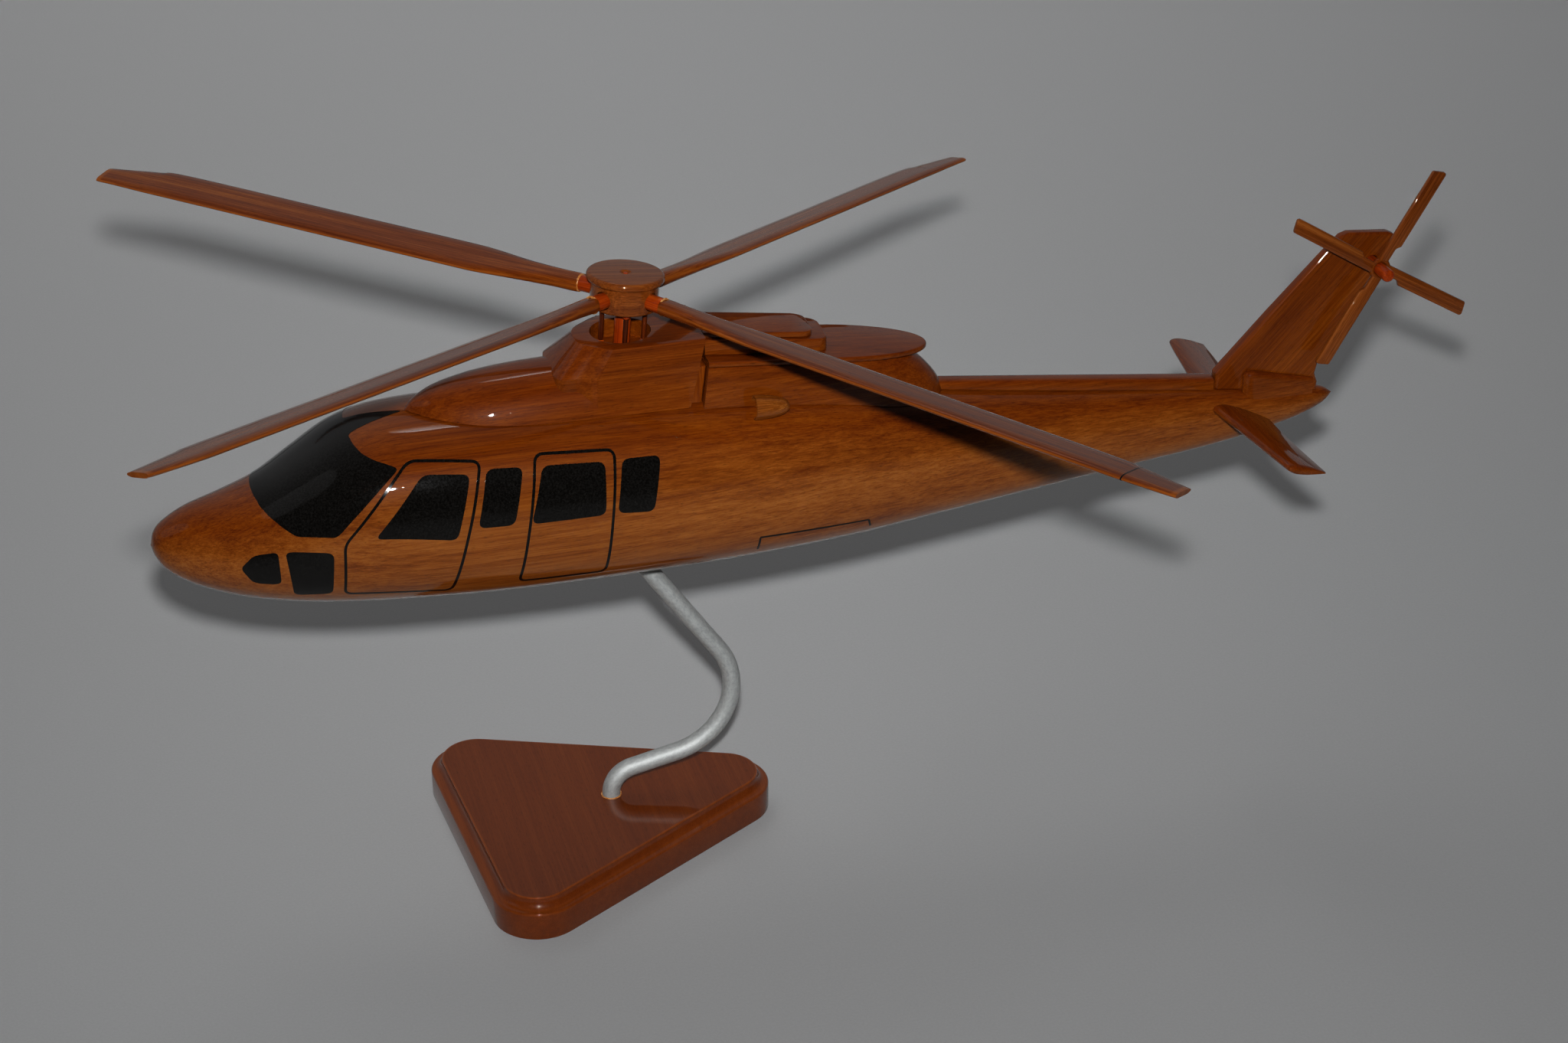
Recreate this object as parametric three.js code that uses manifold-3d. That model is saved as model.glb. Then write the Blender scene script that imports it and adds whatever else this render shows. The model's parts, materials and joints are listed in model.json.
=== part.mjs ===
// Desk model of a four-bladed helicopter, carved from solid hardwood, on a bent aluminium rod
// and a rounded three-cornered base.
// Millimetres, +Z up. The origin is on the base's underside, straight below the rod's foot.
// The nose points to -X and the port side is -Y.
import * as THREE from 'three';
import { mergeVertices } from 'three/addons/utils/BufferGeometryUtils.js';
import Module from 'manifold-3d';

const wasm = await Module();
wasm.setup();

const { cos, sin, tan, atan, PI, abs, sign } = Math;
const radians = THREE.MathUtils.degToRad;
const at = (x, y, z) => new THREE.Vector3(x, y, z);

// ---------- driving dimensions ----------
const GAP = 0.3; // glue line between two pieces that touch

const BASE_THICKNESS = 18;
const BASE_TURN = radians(4.7); // the base stands slightly turned under the model
const BASE_LEFT_EDGE = 68.4; // from the rod to the edge under the nose
const BASE_SIDE_EDGE = 43.5; // from the rod to each long edge
const BASE_SIDE_ANGLE = radians(26.6); // each long edge to the X axis
const BASE_CORNER_RADIUS = 20;

const ROD_RADIUS = 3.97; // 5/16 inch rod
const ROD_FOOT_DEPTH = 12;
const ROD_FOOT_STRAIGHT = 0.8; // upright part that shows above the base
const ROD_FOOT_BEND = 12;
const ROD_LOW_SLOPE = radians(12);
const ROD_BIG_BEND = 32;
const ROD_BIG_CENTRE_X = 23.3;
const ROD_TOP_SLOPE = radians(124.5);
const ROD_TOP_STRAIGHT = 88;
const ROD_SOCKET_DEPTH = 27;

// Fuselage stations: x, underside z, top z, half width, squareness of the section
const FUSELAGE_STATIONS = [
  [-185.5, 171, 171, 0, 2],
  [-184, 166, 176, 5.5, 2],
  [-180, 160, 180.2, 10, 2.05],
  [-170, 153, 185.2, 16, 2.1],
  [-155, 147.6, 188.8, 23, 2.2],
  [-140, 144.6, 193.4, 29, 2.3],
  [-125, 142.4, 202.2, 33.5, 2.4],
  [-108, 140.9, 211.8, 37.3, 2.5],
  [-88, 139.5, 216.6, 40, 2.5],
  [-50, 137.4, 217.3, 41.3, 2.5],
  [0, 136.5, 216, 40.5, 2.5],
  [54, 136.4, 213, 36.5, 2.5],
  [105, 138.2, 206.2, 30.5, 2.5],
  [147, 141.6, 198, 24.5, 2.4],
  [205, 147.3, 190, 17.5, 2.4],
  [273, 154, 181.6, 10.5, 2.3],
  [308, 160.5, 177.3, 7.2, 2.2],
  [325, 166.3, 174.8, 4.2, 2.1],
  [331.5, 171, 171, 0, 2],
];

// Fairing in front of the rotor tower: x, top z, half width
const FAIRING_STATIONS = [
  [-80, 217, 2],
  [-76, 221.5, 8],
  [-67, 225.5, 16],
  [-52, 228.5, 21.5],
  [-33, 230.3, 23.5],
  [-10, 231, 23.2],
  [34, 231, 20.5],
];
const FAIRING_SQUARENESS = 2.5;

const TOWER_TOP = 241.3;
const TOWER_REAR_X = 42;
const TOWER_REAR_LEAN = 0.244; // the rear face leans forward as it goes down
const RECESS_X = 10.4;
const RECESS_RADIUS = 12.6;
const RECESS_DEPTH = 8;

const COWL_FRONT_X = 42.6;
const COWL_FRONT_LEAN = 0.138;
const DECK_TOP = 231.5; // top of the deck plate above the cowl's front edge
const DECK_SLOPE = 0.109; // the deck falls towards the tail
const DECK_THICKNESS = 2.4;
const DECK_REAR_X = 141.5;
const DECK_HALF_WIDTH = 20.2;
const DECK_REAR_HALF_WIDTH = 17.6;

const SPINE_FRONT_X = 143;
const SPINE_REAR_X = 273;
const SPINE_TOP = 202.4; // at its front end
const SPINE_SLOPE = 0.1215; // it falls towards the tail
const SPINE_HALF_WIDTH = 4;
const FIN_ROOT_HALF = 3.4; // half thickness at the foot
const FIN_TIP_HALF = 2.4;

const ROTOR_CENTRE = at(12.5, -0.8, 257.9); // where the blades' centre lines meet
const ROTOR_LEAN = radians(5.5); // the mast leans towards the tail
const ROTOR_LEAN_SIDE = radians(2.2); // and slightly to starboard
const ROTOR_RADIUS = 260;
const DRUM_RADIUS = 14;
const DRUM_HALF_HEIGHT = 5.4;
const CAP_RADIUS = 16;
const CAP_HEIGHT = 3.4;
const MAST_RADIUS = 3.4;
const SLEEVE_RADIUS = 3.4;
const SLEEVE_INNER = 9; // the sleeve's inner end, from the mast's axis
const BLADE_INNER = 20.5; // the blade's root end, from the mast's axis
const BLADE_HALF_CHORD = 9.5;
const BLADE_ROOT_CHORD = 8.6;
const BLADE_THICKNESS = 3;
const BLADE_ROOT_THICKNESS = 6;
// Each blade's heading from the nose towards port, its droop, its twist on the sleeve, the side
// of its tapered edge, and how far the straight and the tapered edge are from its middle at the tip
const BLADES = [
  ['front_left', 37.4, 0.3, 14.3, -1, 6.2, 4.7],
  ['rear_left', 128.6, 0.8, -4.2, 1, 7.8, 3.8],
  ['rear_right', 221, 0.4, -11.5, 1, 9.3, 0.8],
  ['front_right', 317.4, 1.1, -13.2, -1, 9, 1.6],
];
const PITCH_ROD_RADIUS = 1.05;
const PITCH_ROD_CIRCLE = 9;
const PITCH_ROD_CLEARANCE = 0.7; // above the recess floor, at any turn
const MAST_BOTTOM = -45;

const TAIL_ROTOR_CENTRE = at(343.8, -10.6, 233.2);
const TAIL_ROTOR_RADIUS = 49;
const TAIL_BLADE_CHORD = 6.4;
const TAIL_BLADE_ROOT_CHORD = 4.6;
const TAIL_BLADE_THICKNESS = 2;
const TAIL_BLADE_ANGLES = [60.3, 148.9, 240.7, 330.1];
const TAIL_PIN_RADIUS = 2.8;
const TAIL_PIN_REACH = 9.4; // the pin's end, outboard of the blades
const TAIL_PIN_DEPTH = 10.6; // its other end, in the fin

// ---------- colours ----------
function material(colour, roughness, metalness = 0) {
  return new THREE.MeshStandardMaterial({ color: colour, roughness, metalness });
}
const body_wood = material(0x8a4412, 0.22);
const base_wood = material(0x6b2c12, 0.25);
const blade_wood = material(0x84431c, 0.3);
const red_dowel = material(0xb8400f, 0.3);
const dark_rod = material(0x3a150a, 0.3);
const aluminium = material(0xb4b6b8, 0.35, 1);

// ---------- helpers ----------
// A closed body through rings of equal point counts; a ring of one point is a pole.
function loft(rings) {
  const positions = [];
  const starts = rings.map((ring) => {
    const start = positions.length / 3;
    ring.forEach((p) => positions.push(p.x, p.y, p.z));
    return start;
  });
  const faces = [];
  for (let k = 0; k + 1 < rings.length; k += 1) {
    const [a, b] = [rings[k], rings[k + 1]];
    const count = Math.max(a.length, b.length);
    for (let i = 0; i < count; i += 1) {
      const j = (i + 1) % count;
      const low = a.length === 1 ? [starts[k], starts[k]] : [starts[k] + i, starts[k] + j];
      const next = starts[k + 1];
      const high = b.length === 1 ? [next, next] : [next + i, next + j];
      if (low[0] !== low[1]) faces.push(low[0], low[1], high[1]);
      if (high[0] !== high[1]) faces.push(low[0], high[1], high[0]);
    }
  }
  capRing(rings[0], starts[0], positions, faces, false);
  capRing(rings.at(-1), starts.at(-1), positions, faces, true);
  const geometry = new THREE.BufferGeometry();
  geometry.setAttribute('position', new THREE.Float32BufferAttribute(positions, 3));
  geometry.setIndex(faces);
  if (signedVolume(geometry) < 0) flip(geometry);
  return geometry;
}

function capRing(ring, start, positions, faces, last) {
  if (ring.length === 1) return;
  const centre = ring.reduce((sum, p) => sum.add(p), at(0, 0, 0)).divideScalar(ring.length);
  const hub = positions.length / 3;
  positions.push(centre.x, centre.y, centre.z);
  for (let i = 0; i < ring.length; i += 1) {
    const j = (i + 1) % ring.length;
    if (last) faces.push(start + i, start + j, hub);
    else faces.push(start + j, start + i, hub);
  }
}

function signedVolume(geometry) {
  const p = geometry.getAttribute('position');
  const corner = (i) => at(p.getX(i), p.getY(i), p.getZ(i));
  const index = geometry.getIndex().array;
  let volume = 0;
  for (let i = 0; i < index.length; i += 3) {
    volume += corner(index[i]).dot(corner(index[i + 1]).cross(corner(index[i + 2]))) / 6;
  }
  return volume;
}

function flip(geometry) {
  const index = geometry.getIndex().array;
  for (let i = 0; i < index.length; i += 3) {
    [index[i + 1], index[i + 2]] = [index[i + 2], index[i + 1]];
  }
}

function solid(geometry) {
  const bare = new THREE.BufferGeometry();
  bare.setAttribute('position', geometry.getAttribute('position').clone());
  if (geometry.getIndex()) bare.setIndex(Array.from(geometry.getIndex().array));
  const merged = mergeVertices(bare, 1e-4);
  return new wasm.Manifold(new wasm.Mesh({
    numProp: 3,
    vertProperties: new Float32Array(merged.getAttribute('position').array),
    triVerts: new Uint32Array(merged.getIndex().array),
  }));
}

function surface(body) {
  const mesh = body.getMesh();
  const geometry = new THREE.BufferGeometry();
  geometry.setAttribute('position', new THREE.Float32BufferAttribute(mesh.vertProperties, 3));
  geometry.setIndex(Array.from(mesh.triVerts));
  return geometry;
}

function cut(geometry, ...tools) {
  return surface(tools.reduce((rest, tool) => rest.subtract(solid(tool)), solid(geometry)));
}

// A Catmull-Rom curve through rows of numbers, row by row.
function smoothRows(rows, steps) {
  const result = [];
  for (let k = 0; k + 1 < rows.length; k += 1) {
    const before = rows[Math.max(k - 1, 0)];
    const after = rows[Math.min(k + 2, rows.length - 1)];
    for (let s = 0; s < steps; s += 1) {
      const t = s / steps;
      result.push(rows[k].map((b, i) => {
        const [a, c, d] = [before[i], rows[k + 1][i], after[i]];
        const pull = 2 * a - 5 * b + 4 * c - d;
        const bend = 3 * b - 3 * c + d - a;
        return 0.5 * (2 * b + (c - a) * t + pull * t * t + bend * t * t * t);
      }));
    }
  }
  result.push(rows.at(-1));
  return result;
}

const power = (value, exponent) => sign(value) * abs(value) ** exponent;

// A section across X: a rounded box that reaches from bottom to top.
function section(x, bottom, top, halfWidth, squareness, points) {
  if (halfWidth <= 0) return [at(x, 0, (bottom + top) / 2)];
  return Array.from({ length: points }, (_, i) => {
    const angle = (2 * PI * (i + 0.5)) / points;
    const y = halfWidth * power(cos(angle), 2 / squareness);
    const z = (bottom + top) / 2 + ((top - bottom) / 2) * power(sin(angle), 2 / squareness);
    return at(x, y, z);
  });
}

function cylinder(radius, from, to, sides = 20) {
  const axis = to.clone().sub(from);
  const geometry = new THREE.CylinderGeometry(radius, radius, axis.length(), sides);
  geometry.applyQuaternion(new THREE.Quaternion().setFromUnitVectors(at(0, 1, 0), axis.clone().normalize()));
  const middle = from.clone().add(to).multiplyScalar(0.5);
  return geometry.translate(middle.x, middle.y, middle.z);
}

// A lathe about Z from [radius, height] pairs.
function turned(profile, sides) {
  const points = profile.map(([radius, height]) => new THREE.Vector2(radius, height));
  return new THREE.LatheGeometry(points, sides).rotateX(PI / 2);
}

// An outline of [x, z] points in the XZ plane, extruded across Y, with bevelled edges.
function slab(outline, thickness, bevel) {
  const shape = new THREE.Shape(outline.map(([x, z]) => new THREE.Vector2(x, z)));
  const geometry = new THREE.ExtrudeGeometry(shape, {
    depth: thickness - 2 * bevel,
    bevelEnabled: bevel > 0,
    bevelThickness: bevel,
    bevelSize: bevel,
    bevelOffset: -bevel,
    bevelSegments: 2,
    curveSegments: 6,
  });
  return geometry.translate(0, 0, bevel - thickness / 2).rotateX(PI / 2);
}

const model = new THREE.Group();
const main_rotor = new THREE.Group();
model.add(main_rotor);

function place(name, geometry, finish, parent = model) {
  const mesh = new THREE.Mesh(geometry, finish);
  mesh.name = name;
  parent.add(mesh);
  return mesh;
}

// ---------- stand ----------
// The three-cornered outline, moved in by inset, at height z.
function baseRing(inset, z) {
  const left = BASE_LEFT_EDGE - BASE_CORNER_RADIUS;
  const side = BASE_SIDE_EDGE - BASE_CORNER_RADIUS;
  const tip = side / sin(BASE_SIDE_ANGLE);
  const spread = (side + left * sin(BASE_SIDE_ANGLE)) / cos(BASE_SIDE_ANGLE);
  const corners = [
    [tip, 0, BASE_SIDE_ANGLE - PI / 2, PI / 2 - BASE_SIDE_ANGLE],
    [-left, spread, PI / 2 - BASE_SIDE_ANGLE, PI],
    [-left, -spread, PI, 1.5 * PI + BASE_SIDE_ANGLE],
  ];
  const steps = 7;
  return corners.flatMap(([x, y, from, to]) => Array.from({ length: steps + 1 }, (_, i) => {
    const angle = from + ((to - from) * i) / steps;
    const radius = BASE_CORNER_RADIUS - inset;
    return at(x + radius * cos(angle), y + radius * sin(angle), z).applyAxisAngle(at(0, 0, 1), BASE_TURN);
  }));
}

function basePlate() {
  const ledge = 13;
  const rings = [baseRing(0.7, 0), baseRing(0, 0.7), baseRing(0, ledge - 1), baseRing(0.4, ledge - 0.3)];
  const cove = { inset: 1.2, width: 3.8, height: BASE_THICKNESS - 0.4 - ledge };
  for (let i = 0; i <= 4; i += 1) {
    const angle = (PI / 2) * (i / 4);
    rings.push(baseRing(cove.inset + cove.width * sin(angle), ledge + cove.height * (1 - cos(angle))));
  }
  rings.push(baseRing(5.4, BASE_THICKNESS));
  const hole = cylinder(
    ROD_RADIUS + GAP,
    at(0, 0, BASE_THICKNESS - ROD_FOOT_DEPTH - GAP),
    at(0, 0, BASE_THICKNESS + 1),
    16,
  );
  return cut(loft(rings), hole);
}

// The rod's centre line in the XZ plane: straight, tight bend, straight, wide bend, straight.
function rodPath() {
  const path = [[0, BASE_THICKNESS - ROD_FOOT_DEPTH], [0, BASE_THICKNESS]];
  const bendStart = BASE_THICKNESS + ROD_FOOT_STRAIGHT;
  const footTurn = PI / 2 - ROD_LOW_SLOPE;
  for (let i = 0; i <= 5; i += 1) {
    const angle = footTurn * (i / 5);
    path.push([ROD_FOOT_BEND * (1 - cos(angle)), bendStart + ROD_FOOT_BEND * sin(angle)]);
  }
  const [footX, footZ] = path.at(-1);
  const startX = ROD_BIG_CENTRE_X + ROD_BIG_BEND * sin(ROD_LOW_SLOPE);
  const startZ = footZ + (startX - footX) * tan(ROD_LOW_SLOPE);
  const centreZ = startZ + ROD_BIG_BEND * cos(ROD_LOW_SLOPE);
  for (let i = 0; i <= 11; i += 1) {
    const angle = ROD_LOW_SLOPE + (ROD_TOP_SLOPE - ROD_LOW_SLOPE) * (i / 11);
    path.push([ROD_BIG_CENTRE_X + ROD_BIG_BEND * sin(angle), centreZ - ROD_BIG_BEND * cos(angle)]);
  }
  const [endX, endZ] = path.at(-1);
  path.push([endX + ROD_TOP_STRAIGHT * cos(ROD_TOP_SLOPE), endZ + ROD_TOP_STRAIGHT * sin(ROD_TOP_SLOPE)]);
  return path.map(([x, z]) => at(x, 0, z));
}

const rod_path = rodPath();
const rod_end = rod_path.at(-1);
const rod_direction = at(cos(ROD_TOP_SLOPE), 0, sin(ROD_TOP_SLOPE));

function supportRod() {
  const sides = 12;
  const rings = rod_path.map((point, i) => {
    const before = rod_path[Math.max(i - 1, 0)];
    const after = rod_path[Math.min(i + 1, rod_path.length - 1)];
    const along = after.clone().sub(before).normalize();
    const across = at(0, 1, 0).cross(along);
    return Array.from({ length: sides }, (_, k) => {
      const angle = (2 * PI * k) / sides;
      return point.clone()
        .addScaledVector(across, ROD_RADIUS * cos(angle))
        .addScaledVector(at(0, 1, 0), ROD_RADIUS * sin(angle));
    });
  });
  return loft(rings);
}

// ---------- fuselage ----------
function fuselageLoft(grow, steps = 2, points = 28) {
  const rings = smoothRows(FUSELAGE_STATIONS, steps).map(([x, bottom, top, halfWidth, squareness]) => {
    const extra = halfWidth > 0 ? grow : 0;
    return section(x, bottom - extra, top + extra, halfWidth + extra, squareness, points);
  });
  return loft(rings);
}

const roof_tool = fuselageLoft(GAP);

function fuselage() {
  const socket_start = rod_end.clone().addScaledVector(rod_direction, GAP);
  const socket_mouth = rod_end.clone().addScaledVector(rod_direction, -ROD_SOCKET_DEPTH - 30);
  return cut(fuselageLoft(0), cylinder(ROD_RADIUS + GAP, socket_mouth, socket_start, 16));
}

// ---------- rotor tower and its fairing ----------
function fairingLoft() {
  const floor = 196;
  const rings = smoothRows(FAIRING_STATIONS, 2).map(([x, top, halfWidth]) => {
    return section(x, 2 * floor - top, top, halfWidth, FAIRING_SQUARENESS, 24);
  });
  return loft(rings);
}

function towerLoft() {
  const levels = [
    { z: 200, outline: [[-24, 14], [-14, 18], [-6, 20.5], [0, 21]], rear: 19.2 },
    { z: 229.5, outline: [[-19.5, 13], [-10, 16.5], [-4, 18.8], [2, 19.3]], rear: 18.3 },
    { z: TOWER_TOP - 0.9, outline: [[-8.9, 6.6], [-2, 13.8], [3.4, 17.2], [8, 17.6]], rear: 17.9 },
    { z: TOWER_TOP, outline: [[-7.6, 5.6], [-1, 12.8], [4, 16.2], [8, 16.8]], rear: 17.2 },
  ];
  const rings = levels.map(({ z, outline, rear }) => {
    const rearX = TOWER_REAR_X - (TOWER_TOP - z) * TOWER_REAR_LEAN;
    const port = [...outline, [rearX, rear]].map(([x, y]) => at(x, -y, z));
    const starboard = port.map((p) => at(p.x, -p.y, p.z)).reverse();
    return [...port, ...starboard];
  });
  return loft(rings);
}

function rotorTower() {
  const rearPlane = new THREE.BoxGeometry(60, 80, 120);
  rearPlane.translate(30, 0, 0).rotateY(atan(TOWER_REAR_LEAN));
  rearPlane.translate(TOWER_REAR_X, 0, TOWER_TOP);
  const recess_floor = at(RECESS_X, 0, TOWER_TOP - RECESS_DEPTH);
  const recess = cylinder(RECESS_RADIUS, recess_floor, at(RECESS_X, 0, TOWER_TOP + 5), 32);
  const joined = surface(solid(fairingLoft()).add(solid(towerLoft())));
  return cut(joined, rearPlane, recess, mastBore(), roof_tool);
}

// ---------- engine cowling behind the tower ----------
const deckTop = (x) => DECK_TOP - DECK_SLOPE * (x - COWL_FRONT_X);

// A tongue outline: straight sides from frontX, then half an ellipse that ends at rearX.
function tongue(frontX, bendX, rearX, frontHalf, rearHalf, height) {
  const steps = 7;
  const port = [at(frontX, -frontHalf, 0), at((frontX + bendX) / 2, -(frontHalf + rearHalf) / 2, 0)];
  for (let i = 0; i <= steps; i += 1) {
    const angle = (PI / 2) * (i / steps);
    port.push(at(bendX + (rearX - bendX) * sin(angle), -rearHalf * cos(angle), 0));
  }
  const starboard = port.slice(0, -1).map((p) => at(p.x, -p.y, 0)).reverse();
  return [...port, ...starboard].map((p) => at(p.x, p.y, height(p.x)));
}

function engineCowling() {
  const top = (x) => deckTop(x) - DECK_THICKNESS - GAP;
  const front = (drop) => COWL_FRONT_X - drop * COWL_FRONT_LEAN;
  const rings = [
    tongue(front(36), 116, 150.5, 20.6, 17.4, (x) => top(x) - 36),
    tongue(front(24), 114, 150, 20.4, 17.4, (x) => top(x) - 24),
    tongue(front(14), 108, 147, 20.2, 17.2, (x) => top(x) - 14),
    tongue(front(6), 102, 140.5, 19.8, 16.8, (x) => top(x) - 6),
    tongue(front(1), 98, 134, 19.4, 16, (x) => top(x) - 1),
    tongue(front(0), 98, 132.5, 19, 15.5, (x) => top(x)),
  ];
  return cut(loft(rings), roof_tool, spineTool());
}

// The wall at the back of the slot between the tower and the cowling.
function intakeWall() {
  const frontX = (z) => TOWER_REAR_X + GAP - (TOWER_TOP - z) * TOWER_REAR_LEAN;
  const rearX = (z) => COWL_FRONT_X - GAP - (DECK_TOP - DECK_THICKNESS - z) * COWL_FRONT_LEAN;
  const ring = (z, half) => [
    at(frontX(z), -half, z),
    at(rearX(z), -half, z),
    at(rearX(z), half, z),
    at(frontX(z), half, z),
  ];
  return cut(loft([ring(203, 17), ring(228.5, 16)]), roof_tool);
}

function deckPlate() {
  const round = 0.8;
  const ring = (inset, drop) => tongue(
    COWL_FRONT_X,
    98,
    DECK_REAR_X - inset,
    DECK_HALF_WIDTH - inset,
    DECK_REAR_HALF_WIDTH - inset,
    (x) => deckTop(x) - drop,
  );
  return loft([
    ring(round, DECK_THICKNESS),
    ring(0, DECK_THICKNESS - round),
    ring(0, round),
    ring(round, 0),
  ]);
}

// A tapered block whose foot lies on the deck, from frontX to rearX.
function deckBlock(frontX, rearX, foot, top, footHalf, topHalf, rearHalf) {
  const ring = (half, rearShare, height) => [
    at(frontX, -half, height(frontX)),
    at(rearX - 6, -half * rearShare, height(rearX - 6)),
    at(rearX, -half * rearShare + 5, height(rearX)),
    at(rearX, half * rearShare - 5, height(rearX)),
    at(rearX - 6, half * rearShare, height(rearX - 6)),
    at(frontX, half, height(frontX)),
  ];
  const share = rearHalf / footHalf;
  return loft([
    ring(footHalf, share, foot),
    ring(footHalf, share, (x) => top(x) - 0.7),
    ring(topHalf, share, top),
  ]);
}

const blockTop = (x) => 238.4 - 0.128 * (x - COWL_FRONT_X);

function cowlingStep() {
  return deckBlock(COWL_FRONT_X, 96, (x) => deckTop(x) + GAP, blockTop, 13.2, 12.6, 11.6);
}

function cowlingTopPlate() {
  const foot = (x) => blockTop(x) + GAP;
  return deckBlock(COWL_FRONT_X, 90, foot, (x) => foot(x) + 2.2, 11.2, 10.6, 10.2);
}

// A half-bullet air scoop with an open mouth towards the nose.
function scoop(side) {
  const length = 15;
  const radius = 5.2;
  const wall = 0.9;
  const profile = (inset) => {
    const points = [[0, 0], [radius - inset, 0]];
    for (let i = 1; i <= 6; i += 1) {
      const angle = (PI / 2) * (i / 6);
      points.push([(radius - inset) * cos(angle) ** 0.8, (length - inset) * sin(angle)]);
    }
    points[points.length - 1][0] = 0;
    return points;
  };
  const shell = turned(profile(0), 20).rotateY(PI / 2);
  const hollow = turned(profile(wall), 20).rotateY(PI / 2).translate(-0.5, 0, 0);
  const plug = new THREE.CylinderGeometry(radius - wall, radius - wall, 2, 20).rotateZ(PI / 2);
  const geometry = cut(shell, hollow, plug);
  geometry.rotateY(radians(4)).translate(60.5, side * 23.6, 210.6);
  return cut(geometry, roof_tool, cowlTool());
}

// The cowling's outer form with room for a glue line, for cutting the scoops.
function cowlTool() {
  const top = (x) => deckTop(x) - DECK_THICKNESS;
  return loft([
    tongue(30, 116, 150.5, 20.6 + GAP, 17.4 + GAP, (x) => top(x) - 36),
    tongue(30, 114, 150, 20.4 + GAP, 17.4 + GAP, (x) => top(x) - 24),
    tongue(30, 108, 147, 20.2 + GAP, 17.2 + GAP, (x) => top(x) - 14),
    tongue(30, 102, 140.5, 19.8 + GAP, 16.8 + GAP, (x) => top(x) - 6),
  ]);
}

// ---------- tail ----------
const spineTop = (x) => SPINE_TOP - SPINE_SLOPE * (x - SPINE_FRONT_X);

function spineRings(frontX, rearX, grow) {
  const profile = [[1, -12], [1, -1.6], [0.72, -0.4], [0.3, 0]];
  return [frontX, (frontX + rearX) / 2, rearX].map((x) => {
    const port = profile.map(([across, drop]) => {
      return at(x, -across * (SPINE_HALF_WIDTH + grow), spineTop(x) + drop + grow);
    });
    return [...port, ...port.map((p) => at(p.x, -p.y, p.z)).reverse()];
  });
}

const spineTool = () => loft(spineRings(SPINE_FRONT_X - 20, SPINE_REAR_X + 20, GAP));

function spineStrip() {
  return cut(loft(spineRings(SPINE_FRONT_X, SPINE_REAR_X, 0)), roof_tool);
}

function tailFin() {
  // leading edge foot, leading edge top, top, trailing edge top, trailing edge foot, notch
  const outline = [
    [273 + GAP, 172], [274.4, 188.2], [297.6, 213.8], [323.4, 241.4], [328.5, 246.4], [332, 247.6],
    [350.5, 246], [354.6, 244.2], [345.2, 227], [322.6, 188], [321.4, 182.6], [323, 178.5], [322, 172],
  ];
  const geometry = slab(outline, 2 * FIN_ROOT_HALF, 1.4);
  const position = geometry.getAttribute('position');
  for (let i = 0; i < position.count; i += 1) {
    const share = THREE.MathUtils.clamp((position.getZ(i) - 185) / 60, 0, 1);
    position.setY(i, position.getY(i) * THREE.MathUtils.lerp(1, FIN_TIP_HALF / FIN_ROOT_HALF, share));
  }
  const pin_hole = cylinder(
    TAIL_PIN_RADIUS + 2 * GAP,
    at(TAIL_ROTOR_CENTRE.x, -10, TAIL_ROTOR_CENTRE.z),
    at(TAIL_ROTOR_CENTRE.x, 0.8, TAIL_ROTOR_CENTRE.z),
    16,
  );
  return cut(geometry, pin_hole, roof_tool);
}

// The wedge on each side of the fin's foot.
function finBlock(side) {
  const inner = FIN_ROOT_HALF + GAP;
  const ring = (x, low, high, reach) => [
    at(x, side * inner, low),
    at(x, side * (inner + reach), low),
    at(x, side * (inner + reach * 0.9), high - 1),
    at(x, side * (inner + reach * 0.35), high),
    at(x, side * inner, high),
  ];
  return cut(loft([
    ring(286.5, 170, 186.8, 1.2),
    ring(290, 170, 188.6, 3.4),
    ring(304, 170, 185.4, 2.7),
    ring(320, 170, 181.6, 1),
  ]), roof_tool);
}

function stabiliser(side) {
  // root and tip: leading edge x and z, trailing edge x and z, thickness
  const stations = [
    [6, 269.8, 175.4, 298.5, 165.4, 6],
    [30, 274.8, 174.3, 297.6, 166.6, 5.2],
    [62, 280.2, 172.8, 298.4, 168, 4.2],
    [67.3, 282.6, 171.8, 298.6, 168.2, 3.6],
  ];
  const rings = stations.map(([y, frontX, frontZ, rearX, rearZ, thickness]) => {
    const along = at(rearX - frontX, 0, rearZ - frontZ);
    const up = at(-along.z, 0, along.x).normalize();
    const shape = [[0, 0], [0.06, 0.32], [0.22, 0.5], [0.5, 0.46], [0.8, 0.26], [1, 0.06]];
    const upper = shape.map(([share, height]) => [share, height]);
    const lower = shape.slice(1).reverse().map(([share, height]) => [share, -height]);
    return [...upper, ...lower].map(([share, height]) => {
      const chordPoint = at(frontX, side * y, frontZ).addScaledVector(along, share);
      return chordPoint.addScaledVector(up, height * thickness);
    });
  });
  return cut(loft(rings), roof_tool);
}

// ---------- tail rotor ----------
function tailBlade(angle) {
  const chord = TAIL_BLADE_CHORD;
  const root = TAIL_BLADE_ROOT_CHORD;
  const stepStart = 10;
  const hubEdge = TAIL_PIN_RADIUS + GAP;
  const straightEdge = chord / 2;
  const outline = [
    [hubEdge, straightEdge - root], [stepStart, straightEdge - root], [stepStart + 2.5, -straightEdge],
    [TAIL_ROTOR_RADIUS - 1, -straightEdge], [TAIL_ROTOR_RADIUS, 1.2 - straightEdge],
    [TAIL_ROTOR_RADIUS - 1.6, straightEdge], [hubEdge, straightEdge],
  ];
  const geometry = slab(outline, TAIL_BLADE_THICKNESS, 0.5);
  return geometry.rotateY(-radians(angle));
}

function tailHub() {
  return cylinder(TAIL_PIN_RADIUS, at(0, -TAIL_PIN_REACH, 0), at(0, TAIL_PIN_DEPTH, 0), 16);
}

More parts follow.
